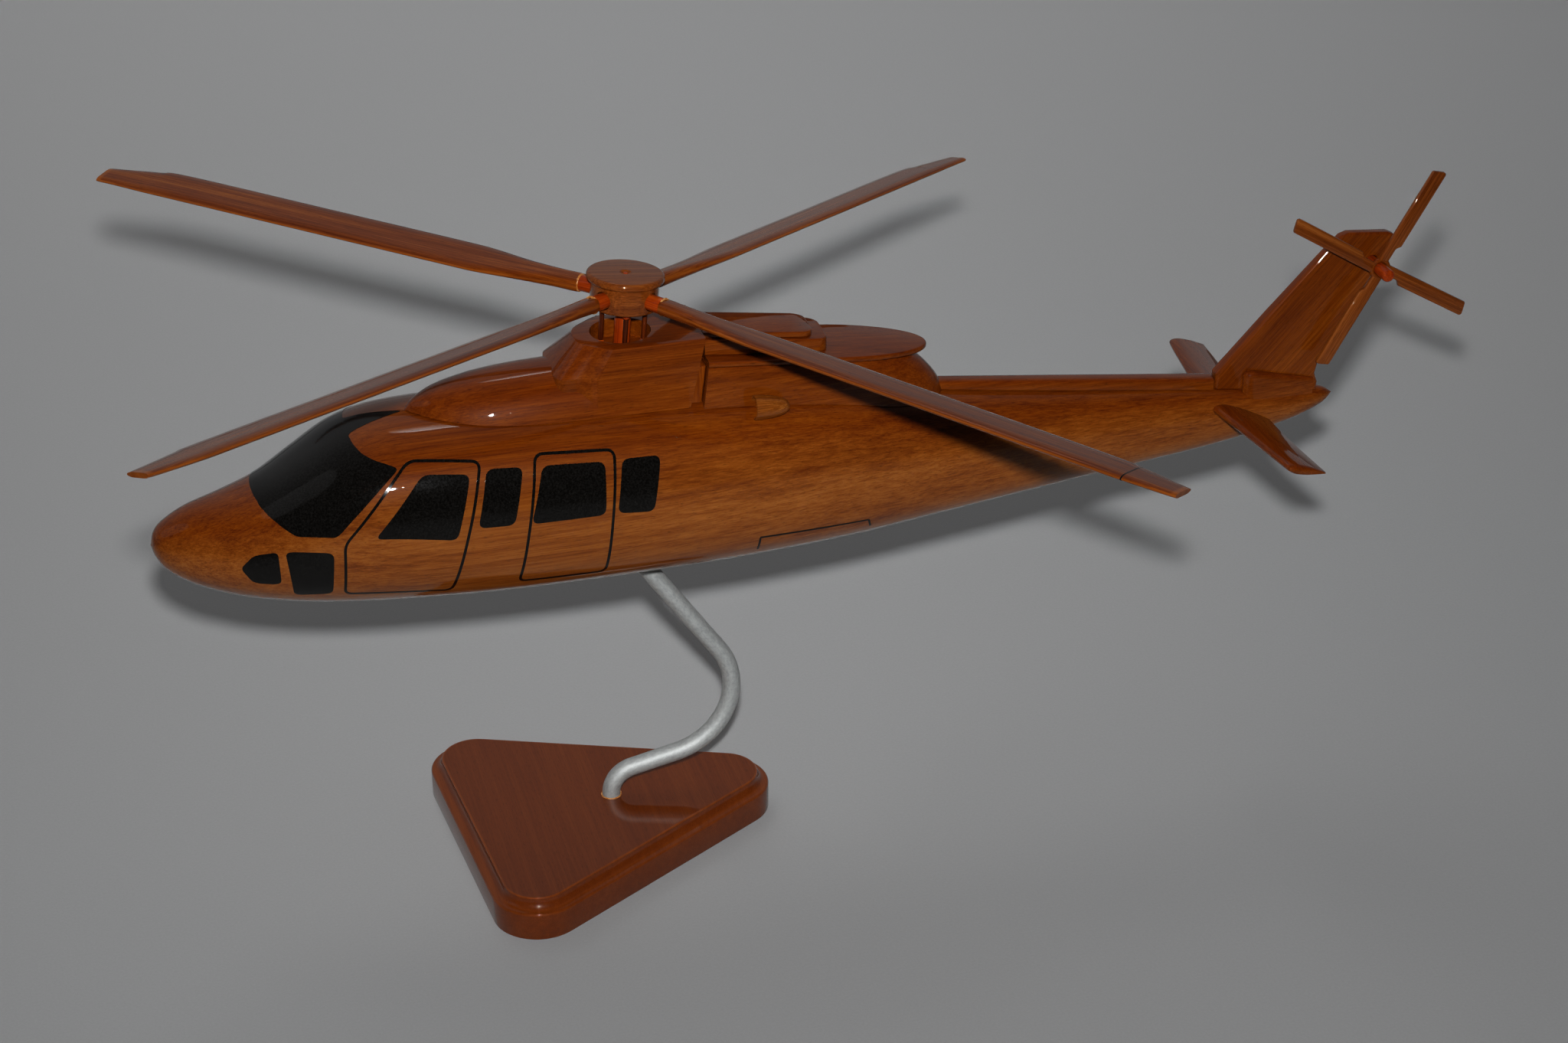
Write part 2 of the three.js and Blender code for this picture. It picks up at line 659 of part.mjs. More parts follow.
// ---------- main rotor, about its own upright axis, with the blades at height 0 ----------
function hubDrum() {
  const half = DRUM_HALF_HEIGHT;
  const drum = turned([
    [0, -half], [DRUM_RADIUS - 1, -half], [DRUM_RADIUS, -half + 1], [DRUM_RADIUS, half], [0, half],
  ], 40);
  const holes = BLADES.map(([, heading, droop]) => {
    const out = bladeDirection(heading, droop);
    const inner = out.clone().multiplyScalar(SLEEVE_INNER - GAP);
    return cylinder(SLEEVE_RADIUS + GAP, inner, out.clone().multiplyScalar(DRUM_RADIUS + 3), 16);
  });
  const mast_hole = cylinder(MAST_RADIUS + GAP, at(0, 0, -half - 1), at(0, 0, -0.4), 20);
  const rod_holes = BLADES.map(([, heading]) => {
    const foot = pitchRodPlace(heading);
    return cylinder(PITCH_ROD_RADIUS + GAP, foot.clone().setZ(-half - 1), foot.clone().setZ(-half + 1.3), 12);
  });
  return cut(drum, ...holes, mast_hole, ...rod_holes);
}

function hubCap() {
  const round = 1.5;
  const points = [[0, 0]];
  for (let i = 0; i <= 6; i += 1) {
    const angle = PI * (i / 6) - PI / 2;
    const middle = i < 3 ? round : CAP_HEIGHT - round;
    points.push([CAP_RADIUS - round + round * cos(angle), middle + round * sin(angle)]);
  }
  points.push([0, CAP_HEIGHT]);
  const geometry = turned(points, 40).translate(0, 0, DRUM_HALF_HEIGHT + GAP);
  const top = DRUM_HALF_HEIGHT + GAP + CAP_HEIGHT;
  return cut(geometry, cylinder(1.3, at(0, 0, top - 3), at(0, 0, top + 1), 12));
}

function capPin() {
  const top = DRUM_HALF_HEIGHT + GAP + CAP_HEIGHT;
  return cylinder(0.95, at(0, 0, top - 2.7), at(0, 0, top - 0.2), 12);
}

function bladeDirection(heading, droop) {
  const [turn, drop] = [radians(heading), radians(droop)];
  return at(-cos(turn) * cos(drop), -sin(turn) * cos(drop), -sin(drop));
}

function pitchRodPlace(heading) {
  const turn = radians(heading + 47);
  return at(-PITCH_ROD_CIRCLE * cos(turn), -PITCH_ROD_CIRCLE * sin(turn), 0);
}

function mast() {
  return cylinder(MAST_RADIUS, at(0, 0, MAST_BOTTOM), at(0, 0, -0.7), 20);
}

// The mast's running hole in the tower and the roof below it.
function mastBore() {
  const bore = cylinder(MAST_RADIUS + GAP, at(0, 0, MAST_BOTTOM - GAP), at(0, 0, 10), 20);
  return toTower(bore);
}

function toTower(geometry) {
  geometry.rotateY(ROTOR_LEAN).rotateX(-ROTOR_LEAN_SIDE);
  return geometry.translate(ROTOR_CENTRE.x, ROTOR_CENTRE.y, ROTOR_CENTRE.z);
}

function pitchRod(heading) {
  const top = pitchRodPlace(heading).setZ(-DRUM_HALF_HEIGHT + 1);
  const rise = (PITCH_ROD_CIRCLE + PITCH_ROD_RADIUS) * sin(ROTOR_LEAN + ROTOR_LEAN_SIDE);
  const foot = top.clone().setZ(TOWER_TOP - RECESS_DEPTH - ROTOR_CENTRE.z + rise + PITCH_ROD_CLEARANCE);
  return cylinder(PITCH_ROD_RADIUS, foot, top, 10);
}

function bladeSleeve() {
  return cylinder(SLEEVE_RADIUS, at(SLEEVE_INNER, 0, 0), at(BLADE_INNER - GAP, 0, 0), 16);
}

// The blade lies along +X. Its straight edge is on the side away from the tapered one.
function mainBlade(side, tipStraight, tipTapered) {
  const root = BLADE_ROOT_CHORD / 2;
  const full = BLADE_HALF_CHORD;
  const tip = ROTOR_RADIUS;
  // x, straight edge and tapered edge from the middle, thickness
  const stations = [
    [BLADE_INNER, root, root, BLADE_ROOT_THICKNESS],
    [32, root + 0.6, root + 0.4, BLADE_ROOT_THICKNESS - 0.6],
    [48, 7, 6.4, 4.2],
    [66, full - 0.3, full - 0.6, 3.3],
    [82, full, full, BLADE_THICKNESS],
    [tip * 0.86, full, full, BLADE_THICKNESS],
    [tip * 0.91, full, full * 0.72 + tipTapered * 0.28, 2.7],
    [tip * 0.965, (full + tipStraight) / 2, full * 0.28 + tipTapered * 0.72, 2.4],
    [tip, tipStraight, tipTapered, 2.1],
  ];
  const shape = [[0, 0], [0.05, 0.3], [0.2, 0.5], [0.7, 0.5], [0.95, 0.25], [1, 0]];
  const rings = stations.map(([x, straight, tapered, thickness]) => {
    const lower = shape.slice(1, -1).reverse().map(([share, height]) => [share, -height]);
    return [...shape, ...lower].map(([share, height]) => {
      return at(x, side * ((straight + tapered) * share - straight), height * thickness);
    });
  });
  return loft(rings);
}

// ---------- assembly ----------
place('base_plate', basePlate(), base_wood);
place('support_rod', supportRod(), aluminium);
place('fuselage', cut(fuselage(), mastBore()), body_wood);
place('rotor_tower', rotorTower(), body_wood);
place('intake_wall', intakeWall(), body_wood);
place('engine_cowling', engineCowling(), body_wood);
place('deck_plate', deckPlate(), body_wood);
place('cowling_step', cowlingStep(), body_wood);
place('cowling_top_plate', cowlingTopPlate(), body_wood);
place('spine_strip', spineStrip(), body_wood);
place('tail_fin', tailFin(), body_wood);
for (const [name, side] of [['left', -1], ['right', 1]]) {
  place(`scoop_${name}`, scoop(side), body_wood);
  place(`fin_block_${name}`, finBlock(side), body_wood);
  place(`stabiliser_${name}`, stabiliser(side), body_wood);
}

main_rotor.position.copy(ROTOR_CENTRE);
main_rotor.rotation.set(-ROTOR_LEAN_SIDE, ROTOR_LEAN, 0);
place('mast', mast(), red_dowel, main_rotor);
place('hub_drum', hubDrum(), blade_wood, main_rotor);
place('hub_cap', hubCap(), blade_wood, main_rotor);
place('cap_pin', capPin(), red_dowel, main_rotor);
for (const [name, heading, droop, twist, side, tipStraight, tipTapered] of BLADES) {
  const arm = new THREE.Group();
  arm.rotation.set(0, radians(droop), radians(heading) + PI, 'ZYX');
  main_rotor.add(arm);
  place(`blade_sleeve_${name}`, bladeSleeve(), red_dowel, arm);
  const blade = mainBlade(side, tipStraight, tipTapered).rotateX(radians(twist));
  place(`main_blade_${name}`, blade, blade_wood, arm);
  place(`pitch_rod_${name}`, pitchRod(heading), dark_rod, main_rotor);
}

const tail_rotor = new THREE.Group();
tail_rotor.position.copy(TAIL_ROTOR_CENTRE);
model.add(tail_rotor);
place('tail_rotor_pin', tailHub(), red_dowel, tail_rotor);
TAIL_BLADE_ANGLES.forEach((angle, i) => {
  place(`tail_blade_${i + 1}`, tailBlade(angle), blade_wood, tail_rotor);
});

export default model;
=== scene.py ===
"""Studio scene of a four-bladed helicopter desk model on a bent aluminium rod and a wooden base.

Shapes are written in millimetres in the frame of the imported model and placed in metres.
"""

import itertools
import json
from math import atan, copysign, cos, pi, radians, sin, tan

import bmesh
import bpy
from mathutils import Matrix, Vector
from mathutils.geometry import delaunay_2d_cdt

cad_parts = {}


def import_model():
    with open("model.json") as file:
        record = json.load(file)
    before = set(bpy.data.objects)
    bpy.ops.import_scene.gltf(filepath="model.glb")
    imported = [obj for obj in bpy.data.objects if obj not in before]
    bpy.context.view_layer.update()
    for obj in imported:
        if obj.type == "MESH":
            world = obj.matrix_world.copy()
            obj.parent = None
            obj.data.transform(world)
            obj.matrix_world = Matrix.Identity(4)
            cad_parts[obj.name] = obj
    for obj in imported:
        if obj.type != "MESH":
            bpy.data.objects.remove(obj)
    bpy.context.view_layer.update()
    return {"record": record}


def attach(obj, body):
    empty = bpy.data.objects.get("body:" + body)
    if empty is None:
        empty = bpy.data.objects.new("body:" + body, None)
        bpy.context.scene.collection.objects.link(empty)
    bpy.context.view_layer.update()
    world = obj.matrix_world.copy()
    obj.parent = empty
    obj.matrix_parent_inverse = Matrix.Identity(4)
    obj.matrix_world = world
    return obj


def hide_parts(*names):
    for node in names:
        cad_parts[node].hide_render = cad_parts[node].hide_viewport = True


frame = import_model()
scene = bpy.context.scene

MM = 0.001
NODE_BODY = {
    node: body
    for body, nodes in frame["record"]["behaviour"]["bodies"].items()
    for node in nodes
}

# ---- driving dimensions, in millimetres ----
SEAM = 0.45  # dark line between two glued pieces
BORE_CLEARANCE = 0.3
GRAIN_SHIFT = 173.0  # every piece is cut from another place in the wood
BASE_TOP = 18
BASE_TURN = radians(4.7)
BASE_LEFT_EDGE = 68.4
BASE_SIDE_EDGE = 43.5
BASE_SIDE_ANGLE = radians(26.6)
BASE_CORNER_RADIUS = 20
BASE_LEDGE = 13
BASE_RIDGE_INSET = 5.5
ROD_RADIUS = 3.97
ROD_FOOT_DEPTH = 12
ROD_FOOT_STRAIGHT = 0.8
ROD_FOOT_BEND = 12
ROD_LOW_SLOPE = radians(12)
ROD_BIG_BEND = 32
ROD_BIG_CENTRE_X = 23.3
ROD_TOP_SLOPE = radians(124.5)
ROD_TOP_STRAIGHT = 88

# x, underside z, top z, half width, squareness of the section
FUSELAGE_STATIONS = [
    (-185.5, 171, 171, 0, 2),
    (-184, 166, 176, 5.5, 2),
    (-180, 160, 180.2, 10, 2.05),
    (-170, 153, 185.2, 16, 2.1),
    (-155, 147.6, 188.8, 23, 2.2),
    (-140, 144.6, 193.4, 29, 2.3),
    (-125, 142.4, 202.2, 33.5, 2.4),
    (-108, 140.9, 211.8, 37.3, 2.5),
    (-88, 139.5, 216.6, 40, 2.5),
    (-50, 137.4, 217.3, 41.3, 2.5),
    (0, 136.5, 216, 40.5, 2.5),
    (54, 136.4, 213, 36.5, 2.5),
    (105, 138.2, 206.2, 30.5, 2.5),
    (147, 141.6, 198, 24.5, 2.4),
    (205, 147.3, 190, 17.5, 2.4),
    (273, 154, 181.6, 10.5, 2.3),
    (308, 160.5, 177.3, 7.2, 2.2),
    (325, 166.3, 174.8, 4.2, 2.1),
    (331.5, 171, 171, 0, 2),
]
# x, top z, half width
FAIRING_STATIONS = [
    (-80, 217, 2),
    (-76, 221.5, 8),
    (-67, 225.5, 16),
    (-52, 228.5, 21.5),
    (-33, 230.3, 23.5),
    (-10, 231, 23.2),
    (34, 231, 20.5),
]
FAIRING_FLOOR = 196
FAIRING_SQUARENESS = 2.5

TOWER_TOP = 241.3
TOWER_REAR_X = 42
TOWER_REAR_LEAN = 0.244
# height, port half of the outline from the front, half width at the rear
TOWER_LEVELS = [
    (200, [(-24, 14), (-14, 18), (-6, 20.5), (0, 21)], 19.2),
    (229.5, [(-19.5, 13), (-10, 16.5), (-4, 18.8), (2, 19.3)], 18.3),
    (240.3, [(-8.9, 6.6), (-2, 13.8), (3.4, 17.2), (8, 17.6)], 17.9),
    (241, [(-8.5, 6.3), (-1.6, 13.5), (3.6, 16.9), (8, 17.4)], 17.7),
    (TOWER_TOP, [(-7.6, 5.6), (-1, 12.8), (4, 16.2), (8, 16.8)], 17.2),
]
RECESS_X = 10.4
RECESS_RADIUS = 12.6
RECESS_DEPTH = 8

COWL_FRONT_X = 42.6
COWL_FRONT_LEAN = 0.138
# drop below the deck, bend x, rear x, front half width, rear half width
COWL_LEVELS = [
    (36, 116, 150.5, 20.6, 17.4),
    (24, 114, 150, 20.4, 17.4),
    (14, 108, 147, 20.2, 17.2),
    (6, 102, 140.5, 19.8, 16.8),
    (1, 98, 134, 19.4, 16),
    (0, 98, 132.5, 19, 15.5),
]
DECK_TOP = 231.5
DECK_SLOPE = 0.109
DECK_THICKNESS = 2.4
DECK_REAR_X = 141.5
DECK_HALF_WIDTH = 20.2
DECK_REAR_HALF_WIDTH = 17.6
DECK_BEND_X = 98
DECK_EDGE_ROUND = 0.9
STEP_TOP = 238.4
STEP_SLOPE = 0.128
TOP_BOARD_THICKNESS = 2.5
# rear x, half width at the foot, at the top and at the rear
STEP_SIZES = (96, 13.2, 12.4, 11.6)
TOP_BOARD_SIZES = (90, 11.2, 10.5, 10.2)
INTAKE_WALL_LEVELS = ((203, 17), (228.5, 16))  # height, half width
SCOOP_PLACE = (60.5, 23.6, 210.6)
SCOOP_TILT = radians(94)
SCOOP_LENGTH = 15
SCOOP_RADIUS = 5.2
SCOOP_WALL = 0.9

SPINE_FRONT_X = 143
SPINE_REAR_X = 273
SPINE_TOP = 202.4
SPINE_SLOPE = 0.1215
SPINE_HALF_WIDTH = 4
FIN_ROOT_HALF = 3.4
FIN_TIP_HALF = 2.4
FIN_OUTLINE = [
    (273.3, 172), (274.4, 188.2), (297.6, 213.8), (323.4, 241.4), (328.5, 246.4), (332, 247.6),
    (350.5, 246), (354.6, 244.2), (345.2, 227), (322.6, 188), (321.4, 182.6), (323, 178.5), (322, 172),
]
# x, top z, reach out from the fin
FIN_WEDGE_STATIONS = [(286.5, 186.8, 1.2), (290, 188.6, 3.4), (304, 185.4, 2.7), (320, 181.6, 1)]
# y, leading edge x and z, trailing edge x and z, thickness
STABILISER_STATIONS = [
    (6, 269.8, 175.4, 298.5, 165.4, 6),
    (30, 274.8, 174.3, 297.6, 166.6, 5.2),
    (62, 280.2, 172.8, 298.4, 168, 4.2),
    (66.4, 282, 172.1, 298.5, 168.2, 3.8),
    (67.3, 283, 171.7, 298.2, 168.3, 2.4),
]
# share of the chord, height as a share of the thickness
STABILISER_SECTION = [(0, 0), (0.02, 0.19), (0.07, 0.33), (0.22, 0.5), (0.5, 0.46), (0.8, 0.26), (1, 0.06)]

ROTOR_CENTRE = Vector((12.5, -0.8, 257.9))
ROTOR_LEAN = radians(5.5)
ROTOR_LEAN_SIDE = radians(2.2)
ROTOR_RADIUS = 260
DRUM_RADIUS = 14
DRUM_HALF_HEIGHT = 5.4
CAP_RADIUS = 16
CAP_HEIGHT = 3.4
CAP_GAP = 0.3
MAST_RADIUS = 3.4
MAST_BOTTOM = -45
SLEEVE_RADIUS = 3.4
SLEEVE_INNER = 9
BLADE_INNER = 20.5
BLADE_HALF_CHORD = 9.5
BLADE_ROOT_CHORD = 8.6
# name, heading, droop, twist, side of the tapered edge, straight and tapered edge at the tip
BLADES = [
    ("front_left", 37.4, 0.3, 14.3, -1, 6.2, 4.7),
    ("rear_left", 128.6, 0.8, -4.2, 1, 7.8, 3.8),
    ("rear_right", 221, 0.4, -11.5, 1, 9.3, 0.8),
    ("front_right", 317.4, 1.1, -13.2, -1, 9, 1.6),
]
PITCH_ROD_RADIUS = 1.05
PITCH_ROD_CIRCLE = 9
PITCH_ROD_OFFSET = 47  # degrees on from its blade
PITCH_ROD_FOOT = -22.5
PITCH_ROD_TOP = -4.4
BLADE_LINE = (ROTOR_RADIUS - 22.6, ROTOR_RADIUS - 22)
BEAD_RADIUS = 1.6
BEAD_HEIGHTS = {"top": -6.6, "foot": -20.8}
LENS_SECTION = [(0, 0.04), (0.05, 0.3), (0.2, 0.5), (0.7, 0.5), (0.95, 0.25), (1, 0.04)]
CHORD_SHARES = [
    0, 0.006, 0.02, 0.045, 0.08, 0.13, 0.2, 0.32, 0.45, 0.58, 0.7, 0.8, 0.88, 0.94, 0.975, 0.994, 1,
]
TAIL_ROTOR_CENTRE = Vector((343.8, -10.6, 233.2))
TAIL_ROTOR_RADIUS = 49
TAIL_BLADE_CHORD = 6.4
TAIL_BLADE_ROOT_CHORD = 4.6
TAIL_BLADE_THICKNESS = 2
TAIL_BLADE_ANGLES = [60.3, 148.9, 240.7, 330.1]
TAIL_PIN_RADIUS = 2.8
TAIL_PIN_REACH = 9.4
TAIL_PIN_DEPTH = 10.6

# ---- studio, in metres and degrees ----
CAMERA_LENS = 68.93
CAMERA_PLACE = (-0.2237, -1.0910, 0.7516)
CAMERA_TURNS = ((-15.53, "Z"), (61.73, "X"), (-0.18, "Z"))  # heading, tilt and roll
COOL_WHITE = (0.98, 0.99, 1.0)
WHITE = (1, 1, 1)
FLOOR_HALF = 6.0
ROOM_SHADES = ((0.0, 0.02), (0.4, 0.04), (0.85, 0.22))


# ---- materials ----
class Nodes:
    """A short way to build the shader nodes of a material, a lamp or the world."""

    def __init__(self, owner):
        owner.use_nodes = True
        self.owner = owner
        self.tree = owner.node_tree

    def put(self, sockets, values):
        """Links each value to the socket of its name, or sets it there when it is a plain number."""
        for name, value in values.items():
            if isinstance(value, bpy.types.NodeSocket):
                self.tree.links.new(value, sockets[name])
            else:
                sockets[name].default_value = value

    def shade(self, values, shader="Principled BSDF"):
        self.put(self.tree.nodes[shader].inputs, values)
        return self.owner

    def add(self, kind, values, output=0, **settings):
        """Adds a node with its input values and settings, and returns one of its outputs."""
        node = self.tree.nodes.new("ShaderNode" + kind)
        for key, value in settings.items():
            setattr(node, key, value)
        self.put(node.inputs, values)
        return node.outputs[output]

    def noise(self, vector, stretch, detail=3.0, roughness=0.6, distortion=0.0):
        stretched = self.add("Mapping", {"Scale": stretch, "Vector": vector})
        return self.add("TexNoise", {
            "Scale": 1.0, "Detail": detail, "Roughness": roughness, "Distortion": distortion,
            "Vector": stretched,
        }, "Fac")

    def math(self, operation, first, second):
        return self.add("Math", {0: first, 1: second}, operation=operation)

    def ramp(self, factor, *stops):
        colour = self.add("ValToRGB", {"Fac": factor}, "Color")
        elements = colour.node.color_ramp.elements
        while len(elements) < len(stops):
            elements.new(0.5)
        for element, (position, shade) in zip(elements, stops):
            element.position = position
            element.color = (*shade, 1)
        return colour

    def span(self, factor, low, high, start=0.0):
        """The factor, from start to 1, turned into low to high."""
        values = {"Value": factor, "From Min": start, "To Min": low, "To Max": high}
        return self.add("MapRange", values, "Result")

    def bump(self, height, strength, distance):
        return self.add("Bump", {"Strength": strength, "Distance": distance, "Height": height}, "Normal")

    def grain(self):
        return self.add("Attribute", {}, "Vector", attribute_name="grain")

    # the strength of the painted edge highlight at each point
    def edge_highlight(self):
        return self.add("Attribute", {}, "Fac", attribute_name="edge_highlight")

    # how far a face looks up, the mask of the painted shade on top faces
    def top_shade_mask(self):
        normal = self.add("NewGeometry", {}, "Normal")
        rise = self.add("SeparateXYZ", {"Vector": normal}, "Z")
        return self.span(self.math("MULTIPLY", rise, 1.6), 0, 1)

    def mix(self, blend, factor, first, second):
        """Mixes two colours; a Mix node's colour sockets are found by their numbers."""
        values = {0: factor, 6: first, 7: second}
        return self.add("Mix", values, 2, data_type="RGBA", blend_type=blend)


def grey(value):
    return (value, value, value)


def wood(name, dark, middle, light, contrast=1.0, top_shade_tint=(1, 1, 1)):
    """Gloss-lacquered hardwood: fine fibres, soft bands and short pores along the grain's first axis.

    Faces that look up are darkened by a tint as painted shade, and edges with a painted highlight are
    paler.
    """
    nodes = Nodes(bpy.data.materials.new(name))
    grain = nodes.grain()
    fibres = nodes.noise(grain, (0.03, 1.6, 1.6), detail=5, roughness=0.65, distortion=0.15)
    streaks = nodes.noise(grain, (0.009, 0.42, 0.42), detail=3, roughness=0.5, distortion=0.3)
    bands = nodes.noise(grain, (0.004, 0.075, 0.075), detail=2, roughness=0.4, distortion=0.6)
    pores = nodes.noise(grain, (0.3, 3.4, 3.4), detail=2, roughness=0.5)
    tone = nodes.math("ADD", nodes.math("MULTIPLY", fibres, 0.48), nodes.math("MULTIPLY", streaks, 0.3))
    tone = nodes.math("ADD", tone, nodes.math("MULTIPLY", bands, 0.22))
    spread = 0.12 / contrast
    colour = nodes.ramp(tone, (0.5 - spread, dark), (0.5, middle), (0.5 + spread, light))
    colour = nodes.mix("MULTIPLY", 0.7, colour, nodes.ramp(pores, (0.58, grey(1)), (0.7, grey(0.5))))
    # painted shade: faces that look up are darkened by the tint
    colour = nodes.mix("MULTIPLY", nodes.top_shade_mask(), colour, (*top_shade_tint, 1))
    # painted highlight: marked edges are mixed towards a paler wood
    highlight_share = nodes.math("MULTIPLY", nodes.edge_highlight(), nodes.span(streaks, 0.2, 1.4))
    colour = nodes.mix("MIX", highlight_share, colour, (*[1.25 * channel for channel in light], 1))
    waves = nodes.noise(grain, (0.05, 0.12, 0.12), detail=2)
    dust = nodes.noise(grain, (0.8, 0.8, 0.8), detail=1)
    specks = nodes.ramp(dust, (0.7, grey(0)), (0.76, grey(1)))
    relief = nodes.math("ADD", waves, nodes.math("MULTIPLY", specks, 0.2))
    return nodes.shade({
        "Base Color": colour,
        "Roughness": nodes.span(fibres, 0.35, 0.55),
        "Normal": nodes.bump(pores, 0.1, 0.0002),
        "Coat Normal": nodes.bump(relief, 0.08, 0.0008),
        "Specular IOR Level": 0.05,
        "Coat Weight": 1.0,
        "Coat Roughness": 0.025,
        "Coat IOR": 1.45,
    })


def black_paint():
    nodes = Nodes(bpy.data.materials.new("black_paint"))
    grain = nodes.grain()
    dust = nodes.noise(grain, (1.3, 1.3, 1.3), detail=5)
    waves = nodes.noise(grain, (0.05, 0.12, 0.12), detail=2)
    return nodes.shade({
        "Base Color": nodes.ramp(dust, (0.4, (0.003, 0.0025, 0.002)), (0.75, (0.012, 0.011, 0.01))),
        "Roughness": nodes.span(dust, 0.04, 0.14),
        "Normal": nodes.bump(waves, 0.06, 0.0006),
        "Specular IOR Level": 0.35,
    })


def amber_glue():
    """Set glue or lacquer that has pooled in a joint."""
    nodes = Nodes(bpy.data.materials.new("amber_glue"))
    blobs = nodes.noise(nodes.grain(), (0.8, 0.8, 0.8), detail=3)
    return nodes.shade({
        "Base Color": nodes.ramp(blobs, (0.35, (0.3, 0.09, 0.012)), (0.7, (0.5, 0.26, 0.09))),
        "Roughness": nodes.span(blobs, 0.15, 0.4),
        "Normal": nodes.bump(blobs, 0.3, 0.0004),
    })


def brushed_aluminium():
    nodes = Nodes(bpy.data.materials.new("aluminium"))
    grain = nodes.grain()
    rings = nodes.noise(grain, (2.6, 0.3, 0.3), detail=5, roughness=0.7)
    scuffs = nodes.noise(grain, (0.5, 0.9, 0.9), detail=6, roughness=0.7)
    return nodes.shade({
        "Base Color": nodes.ramp(scuffs, (0.35, (0.33, 0.34, 0.335)), (0.65, (0.46, 0.47, 0.46))),
        "Roughness": nodes.span(scuffs, 0.5, 0.75),
        "Normal": nodes.bump(nodes.math("ADD", rings, scuffs), 0.3, 0.0002),
        "Metallic": 0.6,
    })


def floor_paper():
    nodes = Nodes(bpy.data.materials.new("floor_paper"))
    position = nodes.add("NewGeometry", {}, "Position")
    fleck = nodes.noise(position, (900, 900, 900), detail=4)
    return nodes.shade({
        "Base Color": nodes.ramp(fleck, (0.2, grey(0.285)), (0.8, grey(0.31))),
        "Normal": nodes.bump(fleck, 0.05, 0.0003),
        "Roughness": 0.8,
        "Specular IOR Level": 0.1,
    })


# darkest, middle and palest colour, contrast, tint of the painted shade on faces that look up
WOODS = {
    "body_wood": (
        (0.11, 0.026, 0.0035), (0.19, 0.057, 0.0075), (0.26, 0.092, 0.016), 0.9, (0.72, 0.52, 0.15),
    ),
    "deep_wood": (
        (0.074, 0.014, 0.0006), (0.135, 0.031, 0.0015), (0.2, 0.056, 0.005), 0.75, (0.9, 0.75, 0.4),
    ),
    "pale_wood": ((0.11, 0.028, 0.003), (0.17, 0.05, 0.006), (0.25, 0.09, 0.016)),
    "base_wood": ((0.08, 0.0155, 0.002), (0.112, 0.0245, 0.003), (0.15, 0.038, 0.006), 0.5),
    "blade_wood": ((0.075, 0.014, 0.001), (0.135, 0.029, 0.002), (0.21, 0.06, 0.007)),
    "hub_wood": ((0.09, 0.02, 0.002), (0.16, 0.043, 0.006), (0.23, 0.075, 0.014)),
    "red_dowel": ((0.16, 0.018, 0.001), (0.26, 0.036, 0.002), (0.36, 0.07, 0.006)),
    "dark_rod": ((0.02, 0.004, 0.001), (0.05, 0.009, 0.0015), (0.1, 0.02, 0.003)),
}
MATERIALS = {name: wood(name, *look) for name, look in WOODS.items()}
MATERIALS["amber_glue"] = amber_glue()
MATERIALS["black_paint"] = black_paint()
MATERIALS["aluminium"] = brushed_aluminium()


# ---- mesh helpers ----
def spline(a, b, c, d, t):
    """The Catmull-Rom value at t on the way from b to c."""
    square = 2 * a - 5 * b + 4 * c - d
    cube = 3 * b - 3 * c + d - a
    return 0.5 * (2 * b + (c - a) * t + square * t ** 2 + cube * t ** 3)


def smooth_rows(rows, steps):
    """A smooth curve through rows of numbers."""
    result = []
    last = len(rows) - 1
    for k in range(last):
        four = rows[max(k - 1, 0)], rows[k], rows[k + 1], rows[min(k + 2, last)]
        for step in range(steps):
            result.append([spline(*values, step / steps) for values in zip(*four)])
    result.append(list(rows[-1]))
    return result


def lerp(a, b, t):
    return a + (b - a) * t


def row_at(rows, x):
    """The row at x, on the straight lines between its two neighbours."""
    k = next(i for i in range(1, len(rows)) if rows[i][0] >= x)
    low, high = rows[k - 1], rows[k]
    t = (x - low[0]) / (high[0] - low[0])
    return [lerp(a, b, t) for a, b in zip(low, high)]


def arc(start, end, steps):
    """Evenly spaced angles from start to end."""
    return [lerp(start, end, i / steps) for i in range(steps + 1)]


def circle(radius, sides):
    angles = [2 * pi * i / sides for i in range(sides)]
    return [(radius * cos(angle), radius * sin(angle)) for angle in angles]


def mirrored(port):
    """A port outline, and then its mirror image in reverse."""
    return port + [(x, -y, *rest) for x, y, *rest in reversed(port)]


def power(value, exponent):
    return copysign(abs(value) ** exponent, value)


def section(x, bottom, top, half_width, squareness, points):
    """A rounded box across X; a section with no width is a single point."""
    middle, half = (bottom + top) / 2, (top - bottom) / 2
    if half_width <= 0:
        return [(x, 0, middle)]
    ring = []
    for i in range(points):
        angle = 2 * pi * (i + 0.5) / points
        y = half_width * power(cos(angle), 2 / squareness)
        ring.append((x, y, middle + half * power(sin(angle), 2 / squareness)))
    return ring


def new_object(name, data):
    item = bpy.data.objects.new(name, data)
    scene.collection.objects.link(item)
    return item


def body_of(points, faces):
    """A temporary object with no loose points and its faces turned outwards."""
    mesh = bpy.data.meshes.new("shape")
    mesh.from_pydata([tuple(p) for p in points], [], faces)
    work = bmesh.new()
    work.from_mesh(mesh)
    bmesh.ops.delete(work, geom=[v for v in work.verts if not v.link_faces], context="VERTS")
    bmesh.ops.recalc_face_normals(work, faces=work.faces)
    work.to_mesh(mesh)
    work.free()
    return new_object("shape", mesh)


